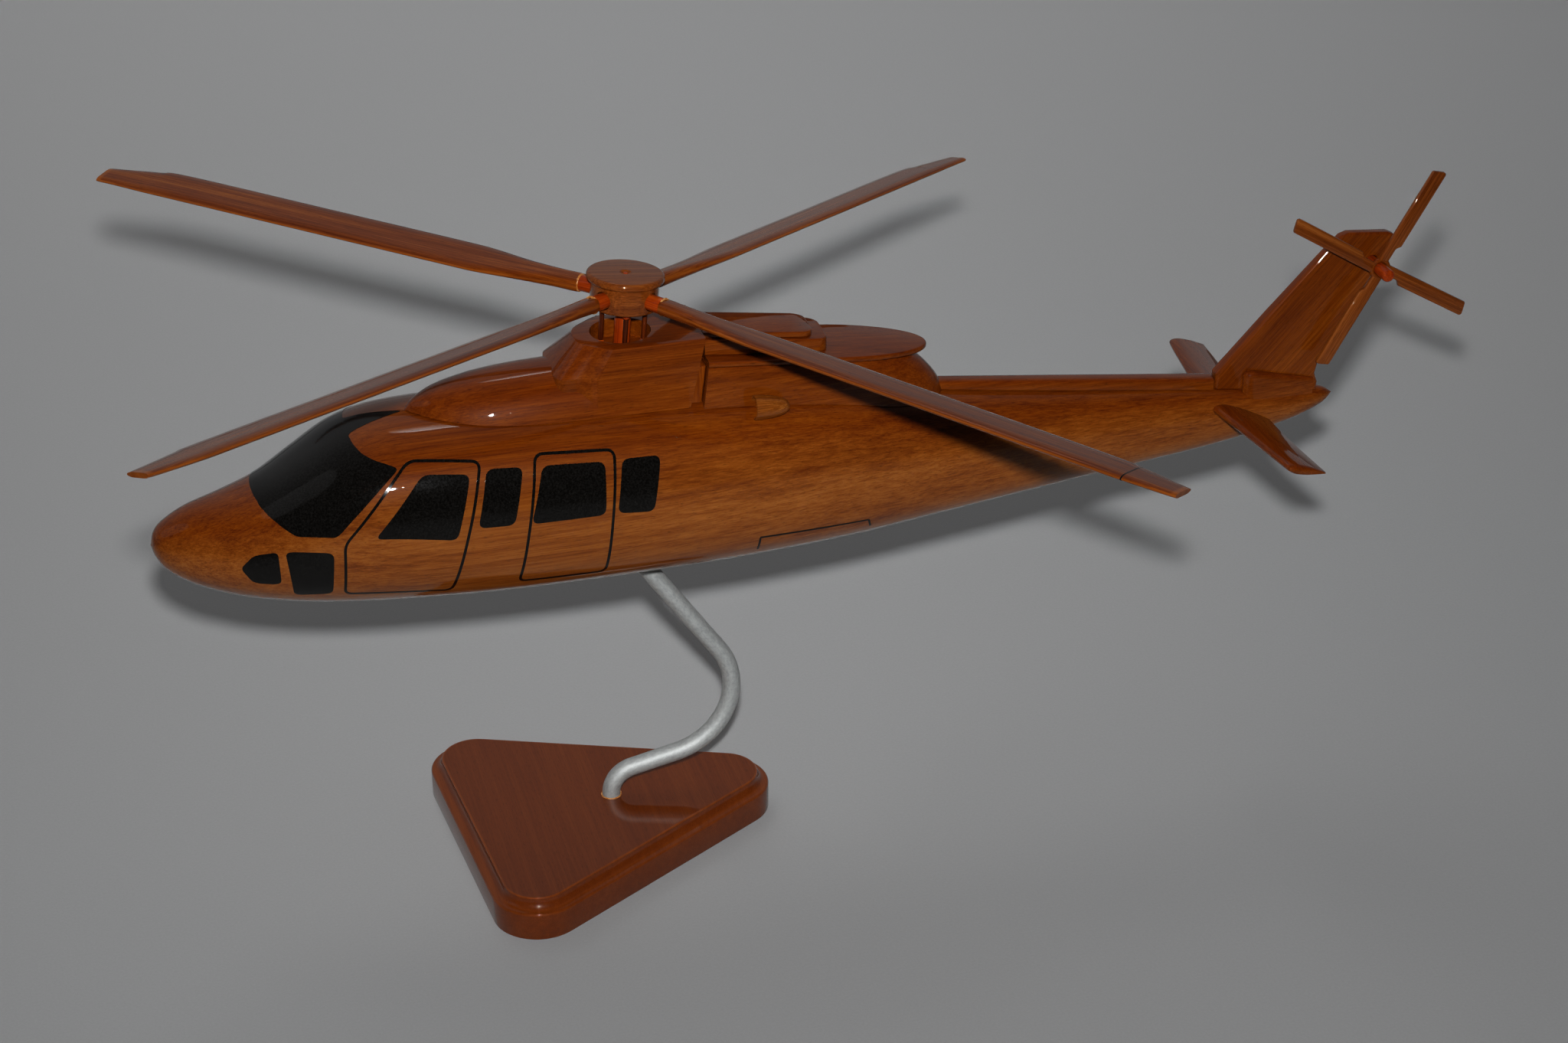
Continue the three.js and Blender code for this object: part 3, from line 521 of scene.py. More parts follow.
def loft(rings, closed=False):
    """A body through rings of equal counts, or single points, with flat ends.

    closed joins the last ring to the first.
    """
    points, loops, faces = [], [], []
    for ring in rings:
        loops.append(list(range(len(points), len(points) + len(ring))))
        points.extend(ring)
    for low, high in zip(loops, loops[1:] + (loops[:1] if closed else [])):
        count = max(len(low), len(high))
        for i in range(count):
            j = (i + 1) % count
            near = [low[i], low[j]] if len(low) > 1 else low
            far = [high[j], high[i]] if len(high) > 1 else high
            faces.append(near + far)
    if not closed:
        faces += [loop for loop in (loops[0], loops[-1]) if len(loop) > 1]
    return body_of(points, faces)


def apply_modifiers(item):
    graph = bpy.context.evaluated_depsgraph_get()
    mesh = bpy.data.meshes.new_from_object(item.evaluated_get(graph))
    item.modifiers.clear()
    item.data = mesh
    return item


def boolean(item, tool, operation="DIFFERENCE"):
    modifier = item.modifiers.new("cut", "BOOLEAN")
    modifier.operation = operation
    modifier.solver = "MANIFOLD"
    modifier.object = tool
    apply_modifiers(item)
    return item


def cut(item, *tools):
    """Cuts the tools out of the item and removes them."""
    for tool in tools:
        boolean(item, tool)
        bpy.data.objects.remove(tool)


def rounded_edges(item, width, segments=3, angle=40):
    modifier = item.modifiers.new("round", "BEVEL")
    modifier.width = width
    modifier.segments = segments
    modifier.limit_method = "ANGLE"
    modifier.angle_limit = radians(angle)
    return apply_modifiers(item)


def turned_rings(profile, sides):
    rings = []
    for radius, height in profile:
        ring = circle(radius, sides) if radius > 0 else [(0, 0)]
        rings.append([(x, y, height) for x, y in ring])
    return rings


def turned(profile, sides=64):
    """A body of revolution about Z from (radius, height) pairs that start and end on the axis."""
    return loft(turned_rings(profile, sides))


def dowel(radius, start, end, sides=40, edge=0.35):
    """A round pin between two points with slightly rounded ends."""
    start, end = Vector(start), Vector(end)
    length = (end - start).length
    turns = arc(0, pi / 2, 3)
    low = [(radius - edge + edge * sin(turn), edge * (1 - cos(turn))) for turn in turns]
    profile = [(0, 0)] + low + [(r, length - h) for r, h in reversed(low)] + [(0, length)]
    aim = (end - start).to_track_quat("Z", "Y")
    rings = turned_rings(profile, sides)
    return loft([[start + aim @ Vector(point) for point in ring] for ring in rings])


def prism(outline, half_depth):
    """An (x, z) outline made solid across Y."""
    near = [(x, -half_depth, z) for x, z in outline]
    far = [(x, half_depth, z) for x, z in outline]
    return loft([near, far])


X_AXIS, Y_AXIS, Z_AXIS = (1, 0, 0), (0, 1, 0), (0, 0, 1)
piece_numbers = itertools.count(1)


def piece(
    name, item, slot, nodes=(), body=None, place=Matrix.Identity(4), grain=X_AXIS, sharp=38, finish=None,
    edge_highlight=None,
):
    """Turns a temporary object in local millimetres into a finished piece in metres on its body.

    The painted edge highlight is a function that gives how much a local point of the piece is paled, from
    0 to 1.
    """
    mesh = item.data
    # stores the painted edge highlight's strength at each point
    if edge_highlight:
        attribute = mesh.attributes.new("edge_highlight", "FLOAT", "POINT")
        for vertex, value in zip(mesh.vertices, attribute.data):
            value.value = edge_highlight(vertex.co)
    shift = GRAIN_SHIFT * next(piece_numbers)
    unturn = Vector(grain).to_track_quat("X", "Z").inverted()
    if "grain" not in mesh.attributes:
        attribute = mesh.attributes.new("grain", "FLOAT_VECTOR", "POINT")
        for vertex, value in zip(mesh.vertices, attribute.data):
            value.vector = unturn @ vertex.co + Vector((shift, 0.37 * shift, 0.61 * shift))
    mesh.transform(Matrix.Scale(MM, 4) @ place)
    mesh.shade_smooth()
    mesh.set_sharp_from_angle(angle=radians(sharp))
    mesh.materials.clear()
    mesh.materials.append(MATERIALS[finish or slot])
    item.name = mesh.name = name
    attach(item, body or NODE_BODY[nodes[0]])
    if nodes:
        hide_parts(*nodes)


def deep_piece(name, item, node, **settings):
    """A piece that is glued to the fuselage, in the deeper coloured wood."""
    piece(name, item, "body_wood", [node], finish="deep_wood", **settings)


# ---- stand ----
def base_ring(inset, z):
    left = BASE_LEFT_EDGE - BASE_CORNER_RADIUS
    side = BASE_SIDE_EDGE - BASE_CORNER_RADIUS
    tip = side / sin(BASE_SIDE_ANGLE)
    spread = (side + left * sin(BASE_SIDE_ANGLE)) / cos(BASE_SIDE_ANGLE)
    corners = [
        (tip, 0, BASE_SIDE_ANGLE - pi / 2, pi / 2 - BASE_SIDE_ANGLE),
        (-left, spread, pi / 2 - BASE_SIDE_ANGLE, pi),
        (-left, -spread, pi, 1.5 * pi + BASE_SIDE_ANGLE),
    ]
    turn = Matrix.Rotation(BASE_TURN, 3, "Z")
    radius = BASE_CORNER_RADIUS - inset
    ring = []
    for x, y, start, end in corners:
        for angle in arc(start, end, 24):
            ring.append(turn @ Vector((x + radius * cos(angle), y + radius * sin(angle), z)))
    return ring


def base_profile():
    """(inset, height) pairs: a rounded foot, the ledge, a hollow cove and the flat rim."""
    ledge, top = BASE_LEDGE, BASE_TOP
    profile = [(0.9, 0), (0.4, 0.15), (0.1, 0.45), (0, 0.9)]
    profile += [(0, ledge - 1.1), (0.1, ledge - 0.6), (0.4, ledge - 0.2), (0.9, ledge)]
    cove_start, cove_width, cove_height = 1.2, 3.8, top - 0.5 - ledge
    for angle in arc(0, pi / 2, 10):
        inset = cove_start + cove_width * sin(angle)
        profile.append((inset, ledge + cove_height * (1 - cos(angle))))
    profile += [(5.05, top - 0.3), (5.2, top - 0.1), (BASE_RIDGE_INSET, top), (6.1, top), (6.6, top)]
    return profile


def base_plate():
    item = loft([base_ring(inset, z) for inset, z in base_profile()])
    hole_bottom = BASE_TOP - ROD_FOOT_DEPTH - BORE_CLEARANCE
    cut(item, dowel(ROD_RADIUS + SEAM, (0, 0, hole_bottom), (0, 0, BASE_TOP + 3)))
    ridge = [point.xy for point in base_ring(BASE_RIDGE_INSET, 0)]

    # painted highlight along the ledge and along the ridge of the flat top
    def edge_highlight(point):
        if abs(point.z - BASE_LEDGE) < 0.7:
            return 0.35
        on_top = point.z > BASE_TOP - 0.35
        return 0.8 if on_top and min((point.xy - spot).length for spot in ridge) < 0.5 else 0.0

    piece("base_block", item, "base_wood", ["base_plate"], grain=Y_AXIS, sharp=30, edge_highlight=edge_highlight)
    glue = ring_bead(ROD_RADIUS + 0.3, 0.35)
    glue.data.transform(Matrix.Translation((0, 0, BASE_TOP)) @ Matrix.Rotation(pi / 2, 4, "Y"))
    piece("rod_foot_glue", glue, "red_dowel", body="base", finish="amber_glue")


def rod_path():
    path = [(0, BASE_TOP - ROD_FOOT_DEPTH), (0, BASE_TOP - 4), (0, BASE_TOP)]
    bend_start = BASE_TOP + ROD_FOOT_STRAIGHT
    for angle in arc(0, pi / 2 - ROD_LOW_SLOPE, 16):
        path.append((ROD_FOOT_BEND * (1 - cos(angle)), bend_start + ROD_FOOT_BEND * sin(angle)))
    foot_x, foot_z = path[-1]
    start_x = ROD_BIG_CENTRE_X + ROD_BIG_BEND * sin(ROD_LOW_SLOPE)
    start_z = foot_z + (start_x - foot_x) * tan(ROD_LOW_SLOPE)
    centre_z = start_z + ROD_BIG_BEND * cos(ROD_LOW_SLOPE)
    for angle in arc(ROD_LOW_SLOPE, ROD_TOP_SLOPE, 40):
        x = ROD_BIG_CENTRE_X + ROD_BIG_BEND * sin(angle)
        path.append((x, centre_z - ROD_BIG_BEND * cos(angle)))
    end_x, end_z = path[-1]
    for share in (0.33, 0.67, 1):
        reach = ROD_TOP_STRAIGHT * share
        path.append((end_x + reach * cos(ROD_TOP_SLOPE), end_z + reach * sin(ROD_TOP_SLOPE)))
    return [Vector((x, 0, z)) for x, z in path]


ROD_PATH = rod_path()
ROD_DIRECTION = Vector((cos(ROD_TOP_SLOPE), 0, sin(ROD_TOP_SLOPE)))


def support_rod():
    rings, grain, run = [], [], 0
    for i, point in enumerate(ROD_PATH):
        before, after = ROD_PATH[max(i - 1, 0)], ROD_PATH[min(i + 1, len(ROD_PATH) - 1)]
        run += (point - before).length
        along = (after - before).normalized()
        across = Vector((0, 1, 0)).cross(along)
        ring = []
        for out, side in circle(ROD_RADIUS, 36):
            ring.append(point + across * out + Vector((0, side, 0)))
            grain.append((run, out, side))
        rings.append(ring)
    item = loft(rings)
    attribute = item.data.attributes.new("grain", "FLOAT_VECTOR", "POINT")
    for value, vector in zip(attribute.data, grain):
        value.vector = vector
    piece("bent_rod", item, "aluminium", ["support_rod"], sharp=50)


# ---- fuselage ----
HULL_ROWS = smooth_rows(FUSELAGE_STATIONS, 10)


def fuselage_form(grow=0.0):
    rings = []
    for x, bottom, top, half_width, squareness in HULL_ROWS:
        extra = grow if half_width > 0 else 0
        rings.append(section(x, bottom - extra, top + extra, half_width + extra, squareness, 96))
    return loft(rings)


roof_tool = fuselage_form(SEAM)


def fuselage():
    item = fuselage_form()
    mouth, end = ROD_PATH[-1] - ROD_DIRECTION * 60, ROD_PATH[-1] + ROD_DIRECTION * BORE_CLEARANCE
    cut(item, dowel(ROD_RADIUS + SEAM, mouth, end))
    piece("fuselage_block", item, "body_wood", ["fuselage"], sharp=50)


# ---- painted windows and lines ----
MM_PER_DEGREE = 38 * pi / 180  # distance round the hull for each degree of section angle
PAINT_LIFT = 0.1
PAINT_DEPTH = -0.3
LINE_WIDTH = 1.15
GEAR_LINE_WIDTH = 0.9
WINDOW_CORNER, DOOR_CORNER, WINDSCREEN_CORNER = 3.2, 3.5, 2.2


def on_hull(x, run, side, lift):
    """A point that stands off the hull by lift, at x and run millimetres up round the section."""
    _, bottom, top, half_width, squareness = row_at(HULL_ROWS, x)
    angle = radians(run / MM_PER_DEGREE)
    c, s = cos(angle), sin(angle)
    reach = (abs(c) ** squareness + abs(s) ** squareness) ** (-1 / squareness)
    middle, half = (bottom + top) / 2, (top - bottom) / 2
    outward = side * power(c * reach, squareness - 1) / half_width
    normal = Vector((0, outward, power(s * reach, squareness - 1) / half))
    point = Vector((x, side * half_width * c * reach, middle + half * s * reach))
    return point + normal.normalized() * lift


def rounded(corners, radius, step=1.5):
    """A closed (x, degrees) outline on the unrolled hull, in millimetres, with round corners."""
    flat = [Vector((x, degrees * MM_PER_DEGREE)) for x, degrees in corners]
    outline = []
    for i, corner in enumerate(flat):
        before, after = flat[i - 1] - corner, flat[(i + 1) % len(flat)] - corner
        size = min(radius, before.length * 0.45, after.length * 0.45)
        start, end = corner + before.normalized() * size, corner + after.normalized() * size
        for k in range(7):
            t = k / 6
            outline.append(start * (1 - t) ** 2 + corner * 2 * t * (1 - t) + end * t ** 2)
    dense = []
    for i, point in enumerate(outline):
        following = outline[(i + 1) % len(outline)]
        count = max(1, int((following - point).length / step))
        dense += [point.lerp(following, k / count) for k in range(count)]
    return [p for i, p in enumerate(dense) if (p - dense[i - 1]).length > 0.02]


def paint_patch(name, outline, side):
    """A thin closed film of paint over an outline on the hull."""
    step = 2.5
    xs, ys = [p.x for p in outline], [p.y for p in outline]
    points = [Vector(p) for p in outline]
    for i in range(int((max(xs) - min(xs)) / step) + 1):
        for k in range(int((max(ys) - min(ys)) / step) + 1):
            spot = Vector((min(xs) + i * step, min(ys) + k * step))
            if min((spot - p).length for p in outline) > 1.2:
                points.append(spot)
    flat, _, faces, *_ = delaunay_2d_cdt(points, [], [list(range(len(outline)))], 1, 1e-5)
    count = len(flat)
    solid = [on_hull(p.x, p.y, side, PAINT_LIFT) for p in flat]
    solid += [on_hull(p.x, p.y, side, PAINT_DEPTH) for p in flat]
    edges = [edge for face in faces for edge in zip(face, face[1:] + face[:1])]
    paired = set(edges)
    rim = [[a, b, b + count, a + count] for a, b in edges if (b, a) not in paired]
    hidden = [[i + count for i in reversed(face)] for face in faces]
    item = body_of(solid, [list(face) for face in faces] + hidden + rim)
    piece(name, item, "black_paint", body="airframe", sharp=60)


def paint_line(name, path, side, width=LINE_WIDTH, closed=True):
    """A thin closed strip of paint along a path on the hull."""
    rings = []
    for i, point in enumerate(path):
        before = path[i - 1] if closed or i else path[0]
        after = path[(i + 1) % len(path)] if closed or i + 1 < len(path) else path[-1]
        along = (after - before).normalized()
        across = Vector((-along.y, along.x)) * width / 2
        a, b = point + across, point - across
        rings.append([
            on_hull(a.x, a.y, side, PAINT_LIFT), on_hull(b.x, b.y, side, PAINT_LIFT),
            on_hull(b.x, b.y, side, PAINT_DEPTH), on_hull(a.x, a.y, side, PAINT_DEPTH),
        ])
    piece(name, loft(rings, closed), "black_paint", body="airframe", sharp=60)


# corners as (x, degrees up round the section)
WINDOWS = {
    "front_door_window": [(-99.9, 5.3), (-78.7, 39), (-59.9, 36.4), (-67.3, -1.3)],
    "post_window": [(-58.7, 5.1), (-53.2, 38.2), (-38.5, 37.2), (-43.9, 4.7)],
    "rear_door_window": [(-37.1, 4), (-30.7, 36.7), (-5.1, 35.3), (-6.4, 4.4)],
    "aft_window": [(-1.5, 4.4), (2, 35.6), (18.1, 35.3), (13.8, 2.5)],
    "nose_window": [(-134.8, 13.3), (-116.1, 1.6), (-117.5, -34), (-132.5, -33.8)],
    "nose_light": [(-152.5, -0.6), (-147, 14.5), (-137.6, 15.2), (-137.2, -18.8), (-147.9, -18.3)],
}
DOOR_LINES = {
    "front_door_line": [(-112.7, -35.6), (-111.6, 5.7), (-83.4, 47.8), (-55.2, 42.8), (-70.1, -40.2)],
    "rear_door_line": [(-42.5, -37.4), (-33, 43.4), (-0.6, 41.2), (-6.4, -38.3)],
}
GEAR_LINE = [(60, -42), (60.2, -29), (109.1, -32), (110.6, -40.5)]
WINDSCREEN = [
    (-104, 79), (-102.9, 67), (-100.6, 58.3), (-96.4, 51.8), (-87.4, 44.2), (-107.8, 20.6), (-114.5, 12.2),
    (-129.8, 22.7), (-134.6, 33.5), (-139, 46.4), (-141.9, 59), (-143.5, 75),
]


def paintwork():
    for side, hand in ((-1, "left"), (1, "right")):
        for name, corners in WINDOWS.items():
            paint_patch(f"{name}_{hand}", rounded(corners, WINDOW_CORNER), side)
        for name, corners in DOOR_LINES.items():
            paint_line(f"{name}_{hand}", rounded(corners, DOOR_CORNER), side)
        flat = [Vector((x, degrees * MM_PER_DEGREE)) for x, degrees in GEAR_LINE]
        path = [a.lerp(b, k / 12) for a, b in zip(flat, flat[1:]) for k in range(12)] + [flat[-1]]
        paint_line(f"gear_door_line_{hand}", path, side, GEAR_LINE_WIDTH, closed=False)
    port = [(-80.2, 90)] + WINDSCREEN + [(-144, 90)]
    starboard = [(x, 180 - degrees) for x, degrees in reversed(WINDSCREEN)]
    paint_patch("windscreen", rounded(port + starboard, WINDSCREEN_CORNER), -1)


# ---- rotor tower and its fairing ----
def fairing_form():
    rings = []
    for x, top, half_width in smooth_rows(FAIRING_STATIONS, 8):
        rings.append(section(x, 2 * FAIRING_FLOOR - top, top, half_width, FAIRING_SQUARENESS, 72))
    return loft(rings)


def tower_form():
    rings = []
    for z, outline, rear in TOWER_LEVELS:
        rear_x = TOWER_REAR_X - (TOWER_TOP - z) * TOWER_REAR_LEAN + 3
        corners = mirrored([(rear_x, -rear)] + [(x, -y) for x, y in reversed(outline)])
        rings.append([(x, y, z) for x, y in smooth_rows(corners, 8)])
    return loft(rings)


def rotor_place():
    turn = Matrix.Rotation(-ROTOR_LEAN_SIDE, 4, "X") @ Matrix.Rotation(ROTOR_LEAN, 4, "Y")
    return Matrix.Translation(ROTOR_CENTRE) @ turn


def rotor_tower():
    tower = tower_form()
    item = boolean(fairing_form(), tower, "UNION")
    bpy.data.objects.remove(tower)
    lean = atan(TOWER_REAR_LEAN)
    low, high = [(TOWER_REAR_X + run * sin(lean), TOWER_TOP + run * cos(lean)) for run in (-60, 20)]
    rear = prism([low, (90, low[1]), (90, high[1]), high], 60)
    floor_spot = (RECESS_X, 0, TOWER_TOP - RECESS_DEPTH)
    recess = dowel(RECESS_RADIUS, floor_spot, (RECESS_X, 0, TOWER_TOP + 6), 72, 0.6)
    bore = dowel(MAST_RADIUS + BORE_CLEARANCE, (0, 0, MAST_BOTTOM), (0, 0, 10))
    bore.data.transform(rotor_place())
    cut(item, rear, recess, bore)
    boolean(item, roof_tool)
    deep_piece("rotor_pylon", item, "rotor_tower", sharp=30)


# ---- engine cowling ----
def deck_top(x):
    return DECK_TOP - DECK_SLOPE * (x - COWL_FRONT_X)


def tongue(front_x, bend_x, rear_x, front_half, rear_half, height):
    """Straight sides from front_x, then half an ellipse that ends at rear_x."""
    port = [(lerp(front_x, bend_x, i / 10), -lerp(front_half, rear_half, i / 10)) for i in range(10)]
    for angle in arc(0, pi / 2, 24):
        port.append((bend_x + (rear_x - bend_x) * sin(angle), -rear_half * cos(angle)))
    outline = port + [(x, -y) for x, y in reversed(port[:-1])]
    return [(x, y, height(x)) for x, y in outline]


def cowling_form(grow=0.0, front=None):
    rings = []
    for drop, bend, rear, front_half, rear_half in smooth_rows(COWL_LEVELS, 5):
        front_x = COWL_FRONT_X - drop * COWL_FRONT_LEAN if front is None else front
        rings.append(tongue(
            front_x, bend, rear + grow, front_half + grow, rear_half + grow,
            lambda x, drop=drop: deck_top(x) - DECK_THICKNESS - SEAM - drop,
        ))
    return loft(rings)


def spine_form(front_x, rear_x, grow=0.0):
    profile = [(1, -12), (1, -1.8), (0.94, -1), (0.8, -0.45), (0.55, -0.12), (0.3, 0)]
    rings = []
    for i in range(14):
        x = lerp(front_x, rear_x, i / 13)
        top = SPINE_TOP - SPINE_SLOPE * (x - SPINE_FRONT_X) + grow
        half = SPINE_HALF_WIDTH + grow
        rings.append(mirrored([(x, -across * half, top + drop) for across, drop in profile]))
    return loft(rings)


def engine_cowling():
    item = cowling_form()
    boolean(item, roof_tool)
    cut(item, spine_form(SPINE_FRONT_X - 20, SPINE_REAR_X + 20, SEAM))
    deep_piece("engine_cover", item, "engine_cowling", sharp=35)


def intake_wall():
    rings = []
    for z, half in INTAKE_WALL_LEVELS:
        front = TOWER_REAR_X + 0.3 - (TOWER_TOP - z) * TOWER_REAR_LEAN
        rear = COWL_FRONT_X - 0.3 - (DECK_TOP - DECK_THICKNESS - z) * COWL_FRONT_LEAN
        rings.append([(front, -half, z), (rear, -half, z), (rear, half, z), (front, half, z)])
    item = rounded_edges(loft(rings), 0.4)
    boolean(item, roof_tool)
    deep_piece("intake_screen", item, "intake_wall", grain=Z_AXIS)


def deck_plate():
    edge = []
    for angle in arc(0, pi / 2, 5):
        drop = DECK_THICKNESS - DECK_EDGE_ROUND * (1 - cos(angle))
        edge.append((DECK_EDGE_ROUND * (1 - sin(angle)), drop))
    edge += [(inset, DECK_THICKNESS - drop) for inset, drop in reversed(edge)]
    rings = []
    for inset, drop in edge:
        rings.append(tongue(
            COWL_FRONT_X, DECK_BEND_X, DECK_REAR_X - inset,
            DECK_HALF_WIDTH - inset, DECK_REAR_HALF_WIDTH - inset, lambda x, drop=drop: deck_top(x) - drop,
        ))
    deep_piece("deck_board", loft(rings), "deck_plate", sharp=50)


def deck_block(sizes, foot, top):
    """A tapered block with rounded upper edges between the heights foot(x) and top(x)."""
    rear_x, foot_half, top_half, rear_half = sizes
    edge = foot_half - top_half
    end_length, end_width = 6, 5
    bend_x = rear_x - end_length

    def ring(half, height):
        rear = half * rear_half / foot_half
        port = [(lerp(COWL_FRONT_X, bend_x, i / 8), -lerp(half, rear, i / 8)) for i in range(9)]
        for angle in arc(0, pi / 2, 8)[1:]:
            y = -(rear - end_width) - end_width * cos(angle)
            port.append((bend_x + end_length * sin(angle), y))
        return [(x, y, height(x)) for x, y in mirrored(port)]

    rings = [ring(foot_half, foot)]
    for turn in arc(0, pi / 2, 5):
        half = foot_half - edge * (1 - cos(turn))
        rings.append(ring(half, lambda x, turn=turn: top(x) - edge + edge * sin(turn)))
    return loft(rings)


def step_top(x):
    return STEP_TOP - STEP_SLOPE * (x - COWL_FRONT_X)


def deck_blocks():
    step = deck_block(STEP_SIZES, lambda x: deck_top(x) + SEAM, step_top)
    deep_piece("deck_step", step, "cowling_step", sharp=50)
    board = deck_block(
        TOP_BOARD_SIZES, lambda x: step_top(x) + SEAM, lambda x: step_top(x) + TOP_BOARD_THICKNESS,
    )
    deep_piece("deck_top_board", board, "cowling_top_plate", sharp=50)


def scoop(side, name):
    """A hollow half bullet with its open end to the front."""
    length, radius, wall = SCOOP_LENGTH, SCOOP_RADIUS, SCOOP_WALL
    outer, inner = [], []
    for angle in arc(0, pi / 2, 14):
        bulge = max(cos(angle), 0) ** 0.8
        outer.append((radius * bulge, length * sin(angle)))
        inner.append(((radius - wall) * bulge, (length - wall) * sin(angle)))
    outer[-1], inner[-1] = (0, length), (0, length - wall)
    rim = [(radius - wall * 0.5, -0.25)]
    item = turned(outer[::-1] + rim + inner, 48)
    x, y, z = SCOOP_PLACE
    item.data.transform(Matrix.Translation((x, side * y, z)) @ Matrix.Rotation(SCOOP_TILT, 4, "Y"))
    boolean(item, roof_tool)
    cut(item, cowling_form(SEAM, 30))
    piece(f"air_scoop_{name}", item, "body_wood", [f"scoop_{name}"], sharp=40, finish="pale_wood")


# ---- tail ----
def spine_strip():
    item = spine_form(SPINE_FRONT_X, SPINE_REAR_X)
    boolean(item, roof_tool)
    deep_piece("spine_batten", item, "spine_strip", sharp=40)


def tail_fin():
    item = rounded_edges(prism(FIN_OUTLINE, FIN_ROOT_HALF), 1.5, 5)
    for vertex in item.data.vertices:
        share = min(max((vertex.co.z - 185) / 60, 0), 1)
        vertex.co.y *= lerp(1, FIN_TIP_HALF / FIN_ROOT_HALF, share)
    x, z = TAIL_ROTOR_CENTRE.x, TAIL_ROTOR_CENTRE.z
    cut(item, dowel(TAIL_PIN_RADIUS + 0.2, (x, -10, z), (x, 0.8, z)))
    boolean(item, roof_tool)
    deep_piece("fin_board", item, "tail_fin", grain=(0.68, 0, 0.73), sharp=30)


def fin_block(side, name):
    inner = FIN_ROOT_HALF + SEAM
    shoulder = [(1, -2.4), (0.97, -1.5), (0.85, -0.7), (0.6, -0.2), (0.35, 0)]
    rings = []
    for x, high, reach in smooth_rows(FIN_WEDGE_STATIONS, 6):
        profile = [(0, 170), (reach, 170)]
        profile += [(reach * across, high + drop) for across, drop in shoulder] + [(0, high)]
        rings.append([(x, side * (inner + out), z) for out, z in profile])
    item = loft(rings)
    boolean(item, roof_tool)
    deep_piece(f"fin_wedge_{name}", item, f"fin_block_{name}", sharp=40)


def stabiliser(side, name):
    shape = smooth_rows(STABILISER_SECTION, 4)
    rings = []
    for y, front_x, front_z, rear_x, rear_z, thickness in smooth_rows(STABILISER_STATIONS, 6):
        along = Vector((rear_x - front_x, 0, rear_z - front_z))
        up = Vector((-along.z, 0, along.x)).normalized()
        lower = [(share, -height) for share, height in reversed(shape[1:])]
        start = Vector((front_x, side * y, front_z))
        rings.append([start + along * share + up * height * thickness for share, height in shape + lower])
    item = loft(rings)
    boolean(item, roof_tool)
    deep_piece(f"tailplane_{name}", item, f"stabiliser_{name}", grain=Y_AXIS, sharp=40)


# ---- tail rotor ----
def tail_rotor():
    place = Matrix.Translation(TAIL_ROTOR_CENTRE)
    pin = dowel(TAIL_PIN_RADIUS, (0, -TAIL_PIN_REACH, 0), (0, TAIL_PIN_DEPTH, 0), edge=1.1)
    piece("tail_pin", pin, "red_dowel", ["tail_rotor_pin"], place=place, grain=Y_AXIS)
    glue = ring_bead(TAIL_PIN_RADIUS + 1, 1.1)
    glue.data.transform(Matrix.Rotation(pi / 2, 4, "Z"))
    piece(
        "tail_hub_glue", glue, "red_dowel", body="tail_rotor", place=place, grain=Y_AXIS,
        finish="deep_wood",
    )
    edge = TAIL_BLADE_CHORD / 2
    inner = edge - TAIL_BLADE_ROOT_CHORD
    tip = TAIL_ROTOR_RADIUS
    root = TAIL_PIN_RADIUS + 0.2
    outline = [
        (root, inner), (10, inner), (10.9, inner - 0.3), (12.5, -edge), (tip - 1, -edge),
        (tip - 0.2, 0.5 - edge), (tip, 1.4 - edge), (tip - 1.4, edge - 0.6), (tip - 2, edge), (root, edge),
    ]
    for i, angle in enumerate(TAIL_BLADE_ANGLES):
        item = rounded_edges(prism(outline, TAIL_BLADE_THICKNESS / 2), 0.55, 3, 60)
        turn = Matrix.Rotation(-radians(angle), 4, "Y")
        piece(
            f"tail_paddle_{i + 1}", item, "blade_wood", [f"tail_blade_{i + 1}"], place=place @ turn,
            sharp=40, finish="hub_wood",
        )


# ---- main rotor ----
def arm_turn(heading, droop):
    turn = Matrix.Rotation(radians(heading) + pi, 4, "Z")
    return turn @ Matrix.Rotation(radians(droop), 4, "Y")


def pitch_rod_spot(heading):
    turn = radians(heading + PITCH_ROD_OFFSET)
    return -PITCH_ROD_CIRCLE * cos(turn), -PITCH_ROD_CIRCLE * sin(turn)


def hub_drum(place):
    half, radius = DRUM_HALF_HEIGHT, DRUM_RADIUS
    profile = [(0, -half), (radius - 1, -half), (radius - 0.5, 0.15 - half), (radius - 0.15, 0.5 - half)]
    profile += [(radius, 1 - half), (radius, half - 0.2), (radius - 0.2, half), (0, half)]
    item = turned(profile, 128)
    cut(item, dowel(MAST_RADIUS + SEAM, (0, 0, -half - 3), (0, 0, -0.5)))
    for _, heading, droop, *_ in BLADES:
        hole = dowel(SLEEVE_RADIUS + SEAM, (SLEEVE_INNER - 0.2, 0, 0), (DRUM_RADIUS + 4, 0, 0))
        hole.data.transform(arm_turn(heading, droop))
        x, y = pitch_rod_spot(heading)
        rod_hole = dowel(PITCH_ROD_RADIUS + SEAM, (x, y, -half - 3), (x, y, 1.3 - half))
        cut(item, hole, rod_hole)
    piece("rotor_drum", item, "blade_wood", ["hub_drum"], place=place, sharp=30, finish="hub_wood")


